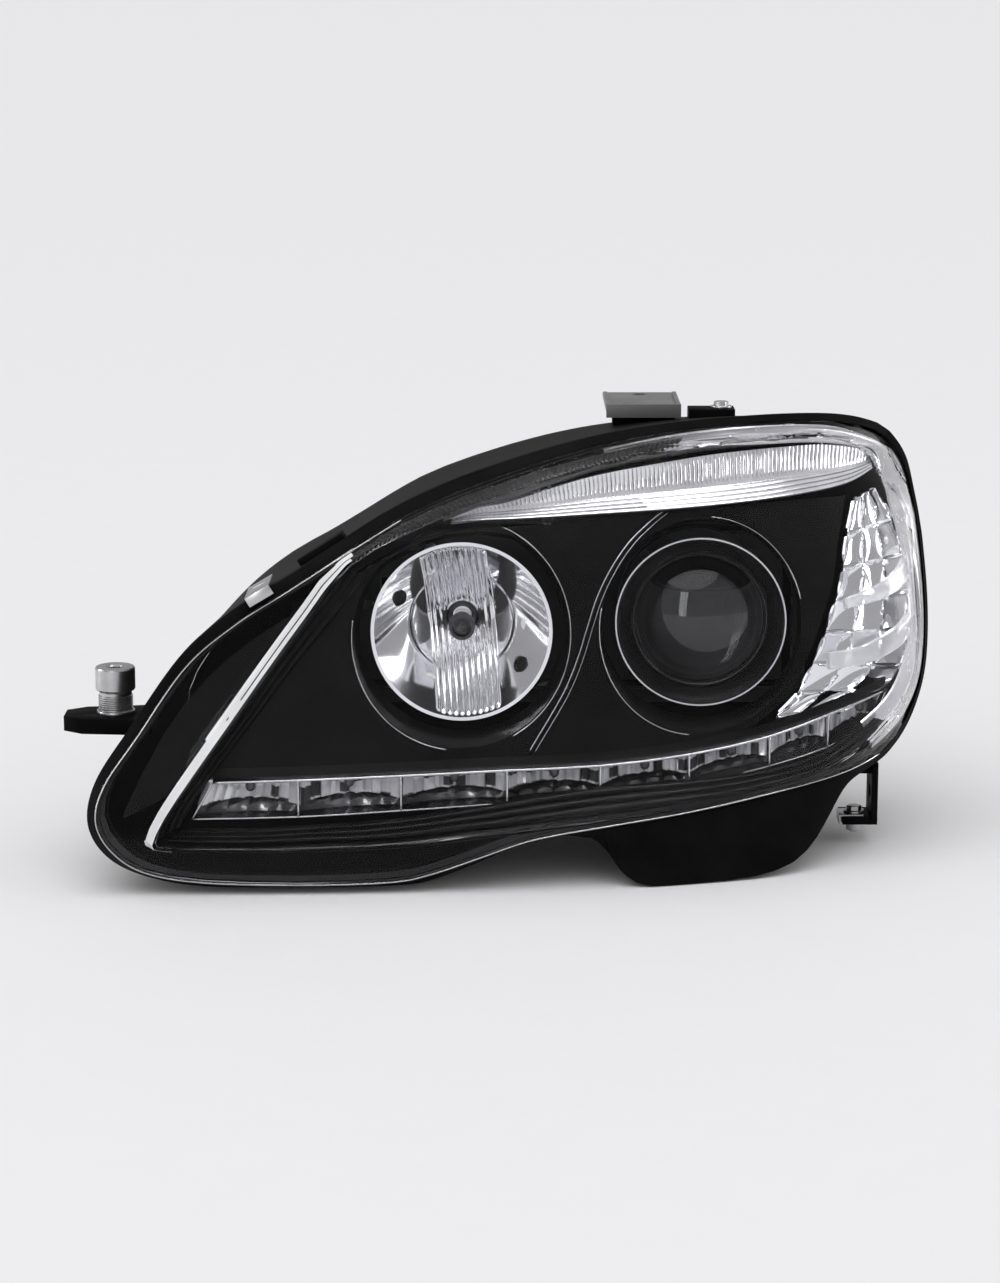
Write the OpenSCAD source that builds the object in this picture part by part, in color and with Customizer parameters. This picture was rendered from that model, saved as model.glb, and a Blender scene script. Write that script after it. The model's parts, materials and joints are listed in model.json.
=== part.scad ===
// Car headlight assembly, outboard end at +X, front at -Y, standing on its two front lobes and rear feet.
// Millimetres, +Z up.

/* [Cover] */
// Wall thickness of the clear cover
cover_wall = 3; // [2.6:0.1:3.4]
// Depth of the flange step round the raised window
flange_step = 8; // [7:0.5:9]

/* [Housing] */
// Wall thickness of the housing
shell_wall = 3; // [2.5:0.5:3.5]
// Height of the low-beam access collar
collar_high = 18; // [14:1:19]

/* [Lamps] */
// Radius of the projector lens flange
lens_r = 38; // [37:0.5:38]
// How far the projector lens bulges forward
lens_bulge = 19; // [14:1:21]
// Rim radius of the high-beam reflector
bowl_r = 50; // [48:0.5:50]
// Depth of the high-beam reflector
bowl_deep = 46; // [44:1:47]

/* [Levelling] */
// Lever arm from the tilt axis to the motor spindle
motor_arm = 57; // [56.5:0.1:57.5]

/* [Mounts] */
// Bore radius of the threaded sleeve
sleeve_bore = 4.3; // [3.5:0.1:5]
// Bolt hole radius in the top bracket
top_hole = 4.5; // [3.5:0.1:5.5]

/* [Hidden] */
$fn = 64;
pj = [114, 141];
hb = [-24, 140];
ti = [92, 213.5];
mid = [10, 135];
win = [40, 140];
yback = 98;
vents = [[-150, 88], [165, 72]];
// Spindle of the levelling motor, the two aiming screws and the ear's sleeve.
spindle = [26, 141 - motor_arm];
screw_v = [26, 192.5];
screw_h = [-81, 141];
sleeve = [-224.5, -70];

// Front surface of the window: raked back towards the top, wrapped back towards the outboard end.
function rake(z) = 0.16 * max(z - 30, 0) + 0.001 * pow(max(z - 30, 0), 2);
function reach(z) = 262 - 0.0037 * pow(z - 140, 2);
function part_of(x, z) = min(max((x + 235) / (reach(z) + 235), 0), 0.998);
function sy(x, z) = -150 + rake(z) + 170 * (1 - pow(1 - pow(part_of(x, z), 3), 1 / 3));
function gx(x, z) = sy(x + 0.5, z) - sy(x - 0.5, z);
function gz(x, z) = sy(x, z + 0.5) - sy(x, z - 0.5);
function nrm(x, z) = let(a = gx(x, z), b = gz(x, z)) [-a, 1, -b] / sqrt(1 + a * a + b * b);
// A point o behind the surface along Y and then t along its normal.
function sq(p, o, t = 0) = [p[0], sy(p[0], p[1]) + o, p[1]] + t * nrm(p[0], p[1]);
// Move a point of an outline towards a centre by d.
function inset(p, c, d) = p + (c - p) * d / norm(c - p);
function cr(a, b, c, d,
    t) = 0.5 * (2 * b + (c - a) * t + (2 * a - 5 * b + 4 * c - d) * t * t + (3 * b - a - 3 * c + d) * t * t * t);
function ring_curve(q, k) = let(n = len(q)) [for (i = [0:n - 1])
    for (j = [0:k - 1]) cr(q[(i + n - 1) % n], q[i], q[(i + 1) % n], q[(i + 2) % n], j / k)];
function line_curve(q, k) = let(n = len(q)) [for (i = [0:n - 2])
    for (j = [0:(i == n - 2 ? k : k - 1)]) cr(q[max(i - 1, 0)], q[i], q[i + 1], q[min(i + 2, n - 1)],
    j / k)];

// Rim stations, clockwise from the inboard tip:
// cover edge x z, window edge x z, housing edge x z, set-back of the cover edge, set-back of the housing
// edge.
rim = ring_curve([
  [-230, 42, -197, 31, -236, 41, 8, 5], [-225, 62, -190, 46, -230, 65, 8, 5],
  [-207, 88, -175, 68, -211, 92, 8, 5], [-180, 126, -154, 97, -184, 131, 8, 5],
  [-152, 149, -133, 126, -155, 156, 8, 5], [-122, 167, -111, 155, -125, 173, 8, 5],
  [-94, 184, -89, 182, -97, 190, 8, 5], [-59, 205, -60, 198, -62, 211, 8, 5],
  [-20, 221, -20, 214, -22, 227, 8, 5], [30, 236, 30, 229, 29, 242, 8, 4],
  [80, 246, 79, 239, 80, 251, 8, 4], [140, 250, 136, 244, 140, 254, 8, 4],
  [186, 248, 182, 242, 188, 252, 8, 4], [214, 241, 209, 236, 217, 245, 10, 4],
  [234, 229, 229, 226, 238, 232, 12, 4], [245, 214, 240, 212, 249, 215, 14, 3],
  [249, 190, 244, 188, 252, 190, 14, 3], [250, 165, 245, 160, 253, 165, 14, 3],
  [251, 140, 246, 138, 254, 140, 14, 3], [251, 116, 245, 115, 254, 115, 14, 3],
  [249, 92, 240, 95, 252, 90, 12, 3], [240, 71, 226, 80, 243, 67, 10, 3],
  [222, 58, 206, 65, 224, 53, 8, 3], [200, 53, 184, 56, 203, 47, 8, 2],
  [186, 51, 170, 53, 192, 33, 8, 0], [172, 49, 156, 51, 182, 19, 8, -3],
  [155, 47, 140, 49, 168, 7, 8, -5], [130, 43, 118, 47, 145, 1.5, 8, -6],
  [105, 40, 96, 45, 110, 0, 8, -8], [82, 37, 74, 43, 84, 0, 8, -8],
  [66, 35.5, 58, 42, 69, 6, 8, -3], [56, 34, 50, 41, 60, 18, 8, 4],
  [46, 33, 40, 40, 50, 26, 8, 8], [30, 31, 24, 39, 31, 27, 8, 12],
  [10, 27, 4, 37, 9, 22, 8, 13], [-14, 19, -22, 35, -18, 11, 8, 13],
  [-42, 10, -52, 32, -44, 2, 8, 12], [-65, 6, -72, 31, -68, 0, 8, 12],
  [-115, 5, -114, 30, -115, 0, 8, 12], [-170, 7, -150, 29, -172, 0.5, 8, 12],
  [-203, 13, -178, 28, -208, 9, 8, 9], [-221, 25, -192, 28, -227, 22, 8, 6]], 2);
edge = [for (r = rim) [r[0], r[1]]];
window = [for (r = rim) [r[2], r[3]]];
outer = [for (r = rim) [r[4], max(r[5], 0)]];
edge_y = [for (r = rim) sy(r[0], r[1]) + r[6]];
outer_y = [for (i = [0:len(rim) - 1]) edge_y[i] + 1 + rim[i][7]];
count = len(rim);
function lift(ps, ys) = [for (i = [0:len(ps) - 1]) [ps[i][0], ys[i], ps[i][1]]];
function plus(ys, d) = [for (y = ys) y + d];
function inward(ps, c, d) = [for (p = ps) inset(p, c, d)];
function about(ps, c, s) = [for (p = ps) c + (p - c) * s];

// Solid built from a stack of closed rings and two end points.
module ring_stack(rings, a, b) {
  n = len(rings[0]);
  m = len(rings);
  pts = concat([for (r = rings) each r], [a, b]);
  side = [for (j = [0:m - 2]) for (i = [0:n - 1]) let(k = (i + 1) % n, u = j * n, v = u + n)
    each [[u + i, u + k, v + k], [u + i, v + k, v + i]]];
  start = [for (i = [0:n - 1]) [m * n, (i + 1) % n, i]];
  end = [for (i = [0:n - 1]) [m * n + 1, (m - 1) * n + i, (m - 1) * n + (i + 1) % n]];
  polyhedron(points = pts, faces = concat(side, start, end), convexity = 10);
}

// Solid ring built from a closed stack of closed rings.
module ring_loop(rings) {
  n = len(rings[0]);
  m = len(rings);
  side = [for (j = [0:m - 1]) for (i = [0:n - 1]) let(k = (i + 1) % n, u = j * n, v = ((j + 1) % m) * n)
    each [[u + i, u + k, v + k], [u + i, v + k, v + i]]];
  polyhedron(points = [for (r = rings) each r], faces = side, convexity = 10);
}

// Sheet solid between two grids of points of equal size.
module slab(a, b) {
  m = len(a);
  n = len(a[0]);
  s = m * n;
  pts = concat([for (r = a) each r], [for (r = b) each r]);
  top = [for (j = [0:m - 2]) for (i = [0:n - 2]) let(u = j * n + i)
    each [[u, u + 1, u + n + 1], [u, u + n + 1, u + n]]];
  bottom = [for (f = top) [f[2] + s, f[1] + s, f[0] + s]];
  e1 = [for (i = [0:n - 2]) each [[i + 1, i, i + s], [i + 1, i + s, i + 1 + s]]];
  w = (m - 1) * n;
  e2 = [for (i = [0:n - 2]) each [[w + i, w + i + 1, w + i + 1 + s], [w + i, w + i + 1 + s, w + i + s]]];
  e3 = [for (j = [0:m - 2]) let(u = j * n, v = u + n) each [[u, v, v + s], [u, v + s, u + s]]];
  e4 = [for (j = [0:m - 2]) let(u = j * n + n - 1, v = u + n) each [[v, u, u + s], [v, u + s, v + s]]];
  polyhedron(points = pts, faces = concat(top, bottom, e1, e2, e3, e4), convexity = 10);
}

// Round parts along the optical direction: x = radius, y = distance back.
module turned(c, q) {
  translate([c[0], 0, c[1]]) rotate([-90, 0, 0]) rotate_extrude($fn = 96) polygon(q);
}

module rod(c, r, y0, y1) {
  translate([c[0], y0, c[1]]) rotate([-90, 0, 0]) cylinder(r = r, h = y1 - y0);
}

module tube(c, r1, r2, y0, y1) {
  turned(c, [[r1, y0], [r2, y0], [r2, y1], [r1, y1]]);
}

module block(a, b) {
  translate(a) cube(b - a);
}

scale_back = [1, 0.955, 0.918, 0.888, 0.86];
step_back = [0, 0.3, 0.62, 0.88, 1];
function wall_ring(j, d, e) = [for (i = [0:count - 1])
  let(p = inset(mid + (outer[i] - mid) * scale_back[j], mid, d + 0.001), y = outer_y[i] + 2)
  [p[0], y + (yback - y) * step_back[j] - e, p[1]]];

module housing() {
  t = shell_wall;
  color([0.03, 0.03, 0.035])
  ring_loop([
    wall_ring(4, 0, 0), wall_ring(3, 0, 0), wall_ring(2, 0, 0), wall_ring(1, 0, 0), wall_ring(0, 0, 0),
    lift(inward(outer, mid, 1.5), outer_y),
    lift(inward(edge, mid, -0.6), plus(edge_y, 1)),
    lift(inward(edge, mid, -0.6), plus(edge_y, 10)),
    lift(inward(edge, mid, 7), plus(edge_y, 10)),
    lift(inward(edge, mid, 7), plus(edge_y, 13)),
    lift(inward(outer, mid, t + 0.2), plus(outer_y, 6)),
    wall_ring(1, t, 0), wall_ring(2, t, 0), wall_ring(3, t, 0), wall_ring(4, t, 0)]);
}

// Ear at the inboard end that carries the threaded sleeve.
module inboard_ear() {
  color([0.03, 0.03, 0.035])
  difference() {
    translate([0, 0, 80]) linear_extrude(9) polygon([[-202, -90], [-222, -88], [-243, -86],
      [-254, -78], [-254, -62], [-243, -54], [-222, -52], [-202, -48]]);
    translate([sleeve[0], sleeve[1], 60]) cylinder(r = 8.35, h = 50);
  }
}

// Pads under the brackets, the latch beside the spring clip and the rear feet.
module housing_pads() {
  color([0.03, 0.03, 0.035])
  difference() {
    union() {
      block([66, 44, 237], [104, 60, 248.85]);
      block([112, 44, 239], [140, 62, 250]);
      block([204, -29, 42], [219, -4, 56]);
      block([-118, 30, 0], [-102, 56, 14]);
      block([117, 30, 0], [133, 56, 15]);
      translate([-104, -72, 186]) rotate([0, -32, 0]) cube([30, 14, 5], center = true);
    }
    translate([132, 53, 240]) cylinder(r = 2.5, h = 20);
  }
}

module housing_back() {
  color([0.03, 0.03, 0.035])
  difference() {
    union() {
      translate([0, yback - 4, 0]) rotate([90, 0, 0]) mirror([0, 0, 1]) linear_extrude(4)
        polygon([for (p = wall_ring(4, shell_wall + 0.1, 0)) [p[0], p[2]]]);
      rod(pj, 47, yback - 4, yback + collar_high);
      rod(hb, 41, yback - 4, yback + 16);
      rod(ti, 18.4, 46, yback - 2);
      // pivot posts for the yoke
      block([-110, -8, 134], [-100, yback - 1, 148]);
      block([184, -8, 134], [191, yback - 1, 148]);
      // bosses of the aiming screws
      for (c = [screw_v, screw_h]) rod(c, 7.5, 88, yback + 4);
      for (c = vents) rod(c, 4, yback - 2, yback + 12);
    }
    rod(pj, 44, 80, 140);
    rod(hb, 38, 80, 140);
    rod(ti, 17, 50, 140);
    rod(ti, 12.4, 40, 60);
    rod(spindle, 5, 80, 140);
    for (c = [screw_v, screw_h]) rod(c, 5.1, 80, 140);
    for (c = vents) rod(c, 2, 80, 140);
    translate([-120, 0, 141]) rotate([0, 90, 0]) cylinder(r = 3.05, h = 60);
    translate([170, 0, 141]) rotate([0, 90, 0]) cylinder(r = 3.05, h = 26);
    block([-132, 80, 98], [-88, 130, 122]);
    for (s = [-1, 1]) rod(spindle + [23 * s, 0], 1.85, 80, 140);
  }
}

foot = [for (i = [0:count - 1]) let(q = min(5 / norm(edge[i] - window[i]),
    0.6)) window[i] + q * (edge[i] - window[i])];
foot_y = [for (i = [0:count - 1]) min(sy(foot[i][0], foot[i][1]) + flange_step, edge_y[i] - 0.2)];

module cover_lens() {
  w = cover_wall;
  rings = [0.25, 0.5, 0.7, 0.84, 0.93, 1];
  back = [for (s = rings) [for (p = about(inward(window, win, 2), win, s)) sq(p, 0, w)]];
  front = [for (k = [5:-1:0]) [for (p = about(window, win, rings[k])) sq(p, 0, 0)]];
  color([0.85, 0.88, 0.9, 0.35])
  ring_stack(concat(back, [
    lift(inward(foot, win, 3), plus(foot_y, w)),
    lift(inward(edge, win, 2.6), plus(edge_y, w)),
    lift(inward(edge, win, 2.5), plus(edge_y, 8)),
    lift(edge, plus(edge_y, 8)),
    lift(edge, edge_y),
    lift(foot, foot_y)], front), sq(win, 0, w), sq(win, 0, 0));
}

module seal_bead() {
  color([0.05, 0.05, 0.05])
  ring_loop([
    lift(inward(edge, mid, 5), plus(edge_y, 9.8)), lift(inward(edge, mid, -0.2), plus(edge_y, 9.8)),
    lift(inward(edge, mid, -0.2), plus(edge_y, 8.2)), lift(inward(edge, mid, 5), plus(edge_y, 8.2))]);
}

// Bezel outlines, clockwise. They meet along the crease between the two lamps.
crease = [[88, 202.5], [78, 194], [66, 182], [57, 168], [51, 152], [45, 135], [39, 117], [28, 97],
    [15, 77]];
inboard_line = ring_curve(concat([[-214, 46], [-192, 88], [-168, 118], [-142, 139], [-113, 156], [-84, 173],
  [-58, 187], [-32, 196], [10, 198], [50, 200.5], [80, 203], [87, 203.5]], crease, [[12, 73.5], [4, 73],
  [-30, 72], [-58, 71], [-88, 70], [-116, 69], [-142, 68], [-166, 64.5], [-190, 53.5], [-211, 43]]), 2);
outboard_line = ring_curve(concat([[92, 204], [114, 204.5], [160, 206.5], [198, 206], [201, 204],
    [196, 183],
  [192, 160], [187, 147], [179, 127], [166, 103], [153, 91], [135, 82], [106, 78], [80, 76], [55, 74.5],
      [22, 74]],
  [for (i = [8:-1:0]) crease[i] + [0.8, -0.4]]), 2);

// Plate with a flared opening: outline on the bezel surface, round mouth r1, smaller rear mouth r2 at
// depth y.
module flared_plate(q, c, r1, r2, y) {
  // Where the outline runs close to the mouth, the mouth draws in to stay 1.5 inside it.
  function on_circle(r) = [for (p = q) c + (p - c) * min(r / norm(p - c),
      1 - (1.5 + r1 - r) / norm(p - c))];
  // The rear mouth stays 5 behind the front one.
  function rear(r) = [for (i = [0:len(q) - 1])
    let(p = on_circle(r)[i], f = on_circle(r1)[i])
    [p[0], max(y, sy(f[0], f[1]) + 25), p[1]]];
  function between(u, t) = [for (p = q) sq(c + (p - c) * (min(r1 / norm(p - c),
      1 - 1.5 / norm(p - c)) * (1 - u) + u), 20, t)];
  ring_loop(concat(
    [for (u = [0.08, 0.2, 0.35, 0.5, 0.65, 0.8, 1]) between(u, 2.5)],
    [for (u = [1, 0.8, 0.65, 0.5, 0.35, 0.2]) between(u, 0)],
    [[for (p = on_circle(r1)) sq(p, 20, 0)], rear(r2), rear(r2 + 1.8)]));
}

module bezel_inboard() {
  color([0.02, 0.02, 0.02])
  flared_plate(inboard_line, hb, 61.5, 58, -84);
}

module bezel_outboard() {
  color([0.02, 0.02, 0.02])
  flared_plate(outboard_line, pj, 58.5, 56.3, -62);
}

trim_low = line_curve([[-34, 203], [-14, 211], [6, 215], [49, 228], [96, 235.5], [134, 238.5],
    [180, 239]], 2);
trim_high = line_curve([[-34, 205], [-14, 214.5], [8, 222], [49, 233], [96, 240], [134, 242],
    [180, 240.2]], 2);

module upper_trim() {
  color([0.1, 0.1, 0.1])
  slab([[for (p = trim_high) sq(p, 10, 0)], [for (p = trim_low) sq(p, 10, 0)]],
       [[for (p = trim_high) sq(p, 10, 3)], [for (p = trim_low) sq(p, 10, 3)]]);
}

turn_top = line_curve([[-30, 203], [-15, 208], [4, 212], [49, 224], [96, 231], [134, 234.5], [180, 235],
    [208, 231],
  [222, 225]], 2);
turn_low = line_curve([[-30, 201.5], [-10, 202.5], [12, 203], [56, 204.5], [100, 206], [134, 207.5],
    [174, 210], [203, 213],
  [220, 218]], 2);
turn_deep = line_curve([[6], [10], [18], [32], [40], [36], [26], [16], [8]], 2);
function trough(t, b, o, dp, e, n) = [for (i = [0:len(t) - 1])
    let(f = sq(t[i], o), g = sq(b[i], o + 4), d = dp[i][0], q = min(e, (f[2] - g[2]) * 0.3))
  [f - [0, 0, q], f + [0, d * 0.5, -q - 0.1 * n], f + [0, d - q, -q - 0.3 * n],
      g + [0, d - q, q + 0.3 * n], g + [0, d * 0.5, q + 0.1 * n], g + [0, 0, q]]];

module indicator_reflector() {
  color([0.85, 0.85, 0.87])
  difference() {
    union() {
      slab(trough(turn_top, turn_low, 14, turn_deep, 0, 8),
          trough(turn_top, turn_low, 14, turn_deep, 2, 8));
      tube(ti, 12, 13.8, -8, 45);
    }
    rod(ti, 12, -60, 60);
  }
}

side_in = line_curve([[207, 203], [201, 183], [197, 160], [192, 147], [184, 127], [171, 103], [159, 90]],
    2);
side_out = line_curve([[218, 206], [229, 188], [234, 168], [236, 150], [235, 125], [227, 104],
    [196, 93]], 2);

module side_reflector() {
  grid = [for (i = [0:len(side_in) - 1]) [for (k = [0:4])
      let(u = k / 4) sq(side_in[i] + (side_out[i] - side_in[i]) * u, 20 - 3 * u + 14 * u * (1 - u))]];
  color([0.85, 0.85, 0.87])
  slab(grid, [for (r = grid) [for (p = r) p + 2 * nrm(p[0], p[2])]]);
}

module light_bar(lo, hi) {
  a = line_curve(lo, 3);
  b = line_curve(hi, 3);
  color([0.8, 0.85, 0.88, 0.5])
  slab([[for (p = b) sq(p, 0, 4)], [for (p = a) sq(p, 0, 4)]],
      [[for (p = b) sq(p, 0, 9)], [for (p = a) sq(p, 0, 9)]]);
}

module upper_light_guide() {
  light_bar([[201, 150], [222, 152], [236, 156], [243, 162]],
      [[200, 156], [221, 161], [235, 167], [242, 174]]);
}

module lower_light_guide() {
  light_bar([[190, 117], [212, 117], [235, 123], [243.5, 130]],
      [[189, 127], [211, 128], [234, 135], [243, 141]]);
}

drl_top = line_curve([[-164, 62], [-116, 63], [-58, 65], [2, 67], [55, 68], [106, 72], [153, 79],
    [188, 88], [224, 97]], 2);
drl_low = line_curve([[-176, 41], [-116, 42], [-58, 45], [2, 48], [55, 50], [106, 54], [153, 61],
    [188, 68], [216, 77]], 2);
drl_deep = line_curve([[16], [20], [22], [22], [22], [22], [20], [18], [12]], 2);
cells = [for (i = [2:2:16]) i];

module drl_reflector() {
  color([0.85, 0.85, 0.87])
  difference() {
    union() {
      slab(trough(drl_top, drl_low, 16, drl_deep, 0, 0), trough(drl_top, drl_low, 16, drl_deep, 1.5, 0));
      for (i = cells) divider(i);
    }
    for (i = cells) led_place(i) cylinder(r = 3, h = 12, center = true);
  }
}

module divider(i) {
  a = sq(drl_top[i], 16);
  b = sq(drl_low[i], 20);
  d = drl_deep[i][0] - 1;
  w = [0.8, 0, 0];
  slab([[a + w + [0, 0.5, -0.8], a + w + [0, d, -0.8]], [b + w + [0, 0.5, 0.8], b + w + [0, d, 0.8]]],
       [[a - w + [0, 0.5, -0.8], a - w + [0, d, -0.8]], [b - w + [0, 0.5, 0.8], b - w + [0, d, 0.8]]]);
}

module led_place(i) {
  p = sq(drl_top[i - 1], 16);
  translate(p + [0, drl_deep[i - 1][0] * 0.5, 0]) children();
}

module drl_leds() {
  color([0.8, 0.75, 0.5])
  for (i = cells) led_place(i) {
    translate([0, 0, -5]) cylinder(r = 2.8, h = 5.2, $fn = 24);
    translate([0, 0, -5]) sphere(r = 2.8, $fn = 24);
  }
}

module drl_board() {
  color([0.05, 0.3, 0.12])
  slab([for (i = [0:16]) let(p = sq(drl_top[i], 16), d = drl_deep[i][0])
      [p + [0, 2, 2.5], p + [0, d - 1, 2.5]]],
       [for (i = [0:16]) let(p = sq(drl_top[i], 16), d = drl_deep[i][0])
           [p + [0, 2, 0.9], p + [0, d - 1, 0.9]]]);
}

module levelling_motor() {
  c = spindle;
  color([0.07, 0.07, 0.08])
  difference() {
    union() {
      rod(c, 19, yback, yback + 30);
      block([c[0] - 10, yback, c[1] - 27], [c[0] + 10, yback + 26, c[1] - 10]);
      block([c[0] - 27, yback, c[1] - 6], [c[0] + 27, yback + 6, c[1] + 6]);
    }
    rod(c, 5, yback - 1, yback + 24);
    block([c[0] - 8, yback + 14, c[1] - 25], [c[0] + 8, yback + 30, c[1] - 18]);
    for (s = [-1, 1]) rod(c + [23 * s, 0], 1.9, yback - 1, yback + 20);
  }
}

module motor_screws() {
  color([0.7, 0.7, 0.72])
  for (s = [-1, 1]) {
    rod(spindle + [23 * s, 0], 1.8, yback - 4, yback + 6.1);
    rod(spindle + [23 * s, 0], 3, yback + 6.02, yback + 9);
  }
}

module main_connector() {
  color([0.06, 0.06, 0.07])
  difference() {
    union() {
      block([-136, yback, 94], [-84, yback + 2.5, 126]);
      block([-131.8, 92, 98.2], [-88.2, yback + 20, 121.8]);
    }
    block([-129.8, yback + 3, 100.2], [-90.2, yback + 30, 119.8]);
    for (x = [-124.5:5:-95]) for (z = [106, 114]) block([x - 0.55, 85, z - 0.55],
        [x + 0.55, 130, z + 0.55]);
  }
}

module connector_pins() {
  color([0.75, 0.7, 0.5])
  for (x = [-124.5:5:-95]) for (z = [106, 114]) block([x - 0.5, 88, z - 0.5],
      [x + 0.5, yback + 10, z + 0.5]);
}

module breather_caps() {
  color([0.05, 0.05, 0.05])
  for (c = vents) turned(c, [[4.05, yback + 1], [7, yback + 1], [7, yback + 15], [5, yback + 17],
      [0, yback + 17], [0, yback + 13], [4.05, yback + 13]]);
}

module adjuster_bushes() {
  color([0.85, 0.85, 0.82])
  for (c = [screw_v, screw_h]) turned(c, [[3.4, 86], [5, 86], [5, yback + 4], [8, yback + 4],
      [8, yback + 6.5], [3.4, yback + 6.5]]);
}

module top_bracket() {
  z = 248.9;
  color([0.45, 0.46, 0.47])
  difference() {
    union() {
      block([62, 40, z], [107, 112, z + 2.5]);
      block([62, 37.5, z - 3], [107, 40, 254]);
      for (x = [62, 104.5]) block([x, 39.9, z], [x + 2.5, 100, z + 4.6]);
    }
    translate([84.5, 103, 240]) cylinder(r = top_hole, h = 15);
    for (x = [72, 98]) translate([x, 52, 240]) cylinder(r = 2.2, h = 15);
  }
}

module bolt(shank) {
  translate([0, 0, -shank]) cylinder(r = 2.4, h = shank + 0.1);
  cylinder(r = 6.4, h = 1.2);
  translate([0, 0, 1.2]) cylinder(r = 4.5, h = 2.7, $fn = 6);
}

module bracket_bolts() {
  color([0.75, 0.75, 0.77])
  union() {
    translate([132, 53, 250.05]) bolt(1);
    translate([210, -20, 16.45]) bolt(12);
  }
}

module lower_bracket() {
  color([0.05, 0.05, 0.055])
  difference() {
    union() {
      block([219.05, -34, 12], [222.5, -4, 49.5]);
      block([202, -34, 12], [219.1, -4, 15]);
    }
    translate([210, -20, 5]) cylinder(r = 3.5, h = 20);
    translate([215, -16, 46]) rotate([0, 90, 0]) cylinder(r = 2.2, h = 10);
    translate([215, -22, 30]) rotate([0, 90, 0]) cylinder(r = 4, h = 10);
  }
}

module spring_nut() {
  color([0.78, 0.78, 0.8])
  difference() {
    union() {
      block([200.4, -28, 10.6], [201.8, -12, 16.4]);
      block([200.4, -28, 15.1], [215, -12, 16.4]);
      block([200.4, -28, 10.6], [215, -12, 11.9]);
      translate([210, -20, 5.6]) cylinder(r = 4.6, h = 5.1);
    }
    translate([210, -20, 5]) cylinder(r = 2.6, h = 20);
  }
}

module rim_clip() {
  color([0.8, 0.8, 0.82])
  translate([-139, -77.8, 166.7]) rotate([0, -31, 0])
  difference() {
    union() {
      translate([-8, -28.4, 0]) cube([16, 32, 1]);
      translate([-8, -28.4, -5]) cube([16, 1, 5.1]);
    }
    translate([-4, -10, -1]) cube([8, 3, 3]);
  }
}

module sleeve_washer() {
  color([0.7, 0.7, 0.72])
  translate([sleeve[0], sleeve[1], 89.05]) difference() {
    cylinder(r = 11, h = 2);
    translate([0, 0, -1]) cylinder(r = 8.3, h = 5);
  }
}

module mount_sleeve() {
  color([0.72, 0.72, 0.74])
  translate([sleeve[0], sleeve[1], 0]) rotate_extrude()
      polygon(concat([[sleeve_bore, 81.5], [7.4, 81.5], [8, 82.1], [8, 91.15], [10, 91.15]],
    [for (k = [0:4]) each [[9.3, 92 + 1.7 * k], [10, 92.8 + 1.7 * k]]],
    [[9.4, 100.6], [9.4, 102], [11.5, 103.4], [11.5, 116], [10.8, 116.7], [sleeve_bore + 1, 116.7],
        [sleeve_bore, 115.7]]));
}

function frame_line(x0, x1, z0, z1, xc, zc) = [[x0, z0], [x1, z0], [x1, z1], [xc, z1], [x0, zc]];
module upright(q, t) {
  translate([0, -t, 0]) rotate([90, 0, 0]) mirror([0, 0, 1]) linear_extrude(2 * t) polygon(q);
}

module tilt_yoke() {
  color([0.12, 0.12, 0.13])
  difference() {
    upright(frame_line(-98, 180, 80, 197, -42, 164), 4);
    upright(frame_line(-90, 172, 88, 188.5, -38, 158), 5);
    translate([-120, 0, 141]) rotate([0, 90, 0]) cylinder(r = 3.02, h = 400);
    translate([45, 0, 60]) cylinder(r = 3.3, h = 131);
    rod(spindle, 3.9, -5, 5);
    rod(screw_v, 3.6, -5, 5);
  }
}

module yoke_pins() {
  color([0.72, 0.72, 0.74])
  for (x = [[-108, -90.2], [172.2, 190]]) translate([x[0], 0, 141]) rotate([0, 90, 0])
      cylinder(r = 3, h = x[1] - x[0]);
}

module ball_socket() {
  color([0.9, 0.9, 0.88])
  turned(spindle, [[3.4, 4.05], [6.8, 4.05], [6.8, 10], [3.4, 10]]);
}

module tilt_nut() {
  color([0.9, 0.9, 0.88])
  tube(screw_v, 3.5, 6, 4.05, 9);
}

module beam_carrier() {
  color([0.14, 0.14, 0.15])
  difference() {
    upright(frame_line(-87, 166, 94, 183, -46, 156), 4);
    rod(pj, 39.2, -5, 5);
    rod(hb, 31, -5, 5);
    block([-73, -5, 99], [-66, 5, 156]);
    for (a = [45, 135, 225, 315]) rod(pj + 43 * [cos(a), sin(a)], 2.1, -5, 5);
    translate([45, 0, 80]) cylinder(r = 3.02, h = 27);
    translate([45, 0, 171]) cylinder(r = 3.02, h = 27);
    rod(screw_h, 3.7, -5, 5);
  }
}

module aim_pins() {
  color([0.72, 0.72, 0.74])
  for (z = [[80.5, 106], [172, 188.4]]) translate([45, 0, z[0]]) cylinder(r = 3, h = z[1] - z[0]);
}

module aim_nut() {
  color([0.9, 0.9, 0.88])
  tube(screw_h, 3.6, 6, 4.05, 9);
}

bowl_f = bowl_r * bowl_r / 4 / bowl_deep;
function bowl(d) = [for (k = [0:12]) let(r = 9 + (bowl_r - 9) * k / 12)
    [r + d * 0.6, -86 + bowl_deep - r * r / 4 / bowl_f + d]];

module high_reflector() {
  inn = bowl(0);
  out = bowl(2);
  color([0.87, 0.87, 0.89])
  union() {
    turned(hb, concat(inn, [[bowl_r + 2, -86], [bowl_r + 2, -84]], [for (k = [12:-1:0]) out[k]]));
    for (a = [0, 120, 240]) rod(hb + 38 * [cos(a), sin(a)], 4, -64, -4.02);
    tube(hb, 9.6, 17, -40.5, -37);
  }
}

module high_bulb_glass() {
  color([0.9, 0.9, 0.9, 0.4])
  turned(hb, [[0, -72], [3, -71], [5.5, -68], [5.5, -38.05], [0, -38.05]]);
}

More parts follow.
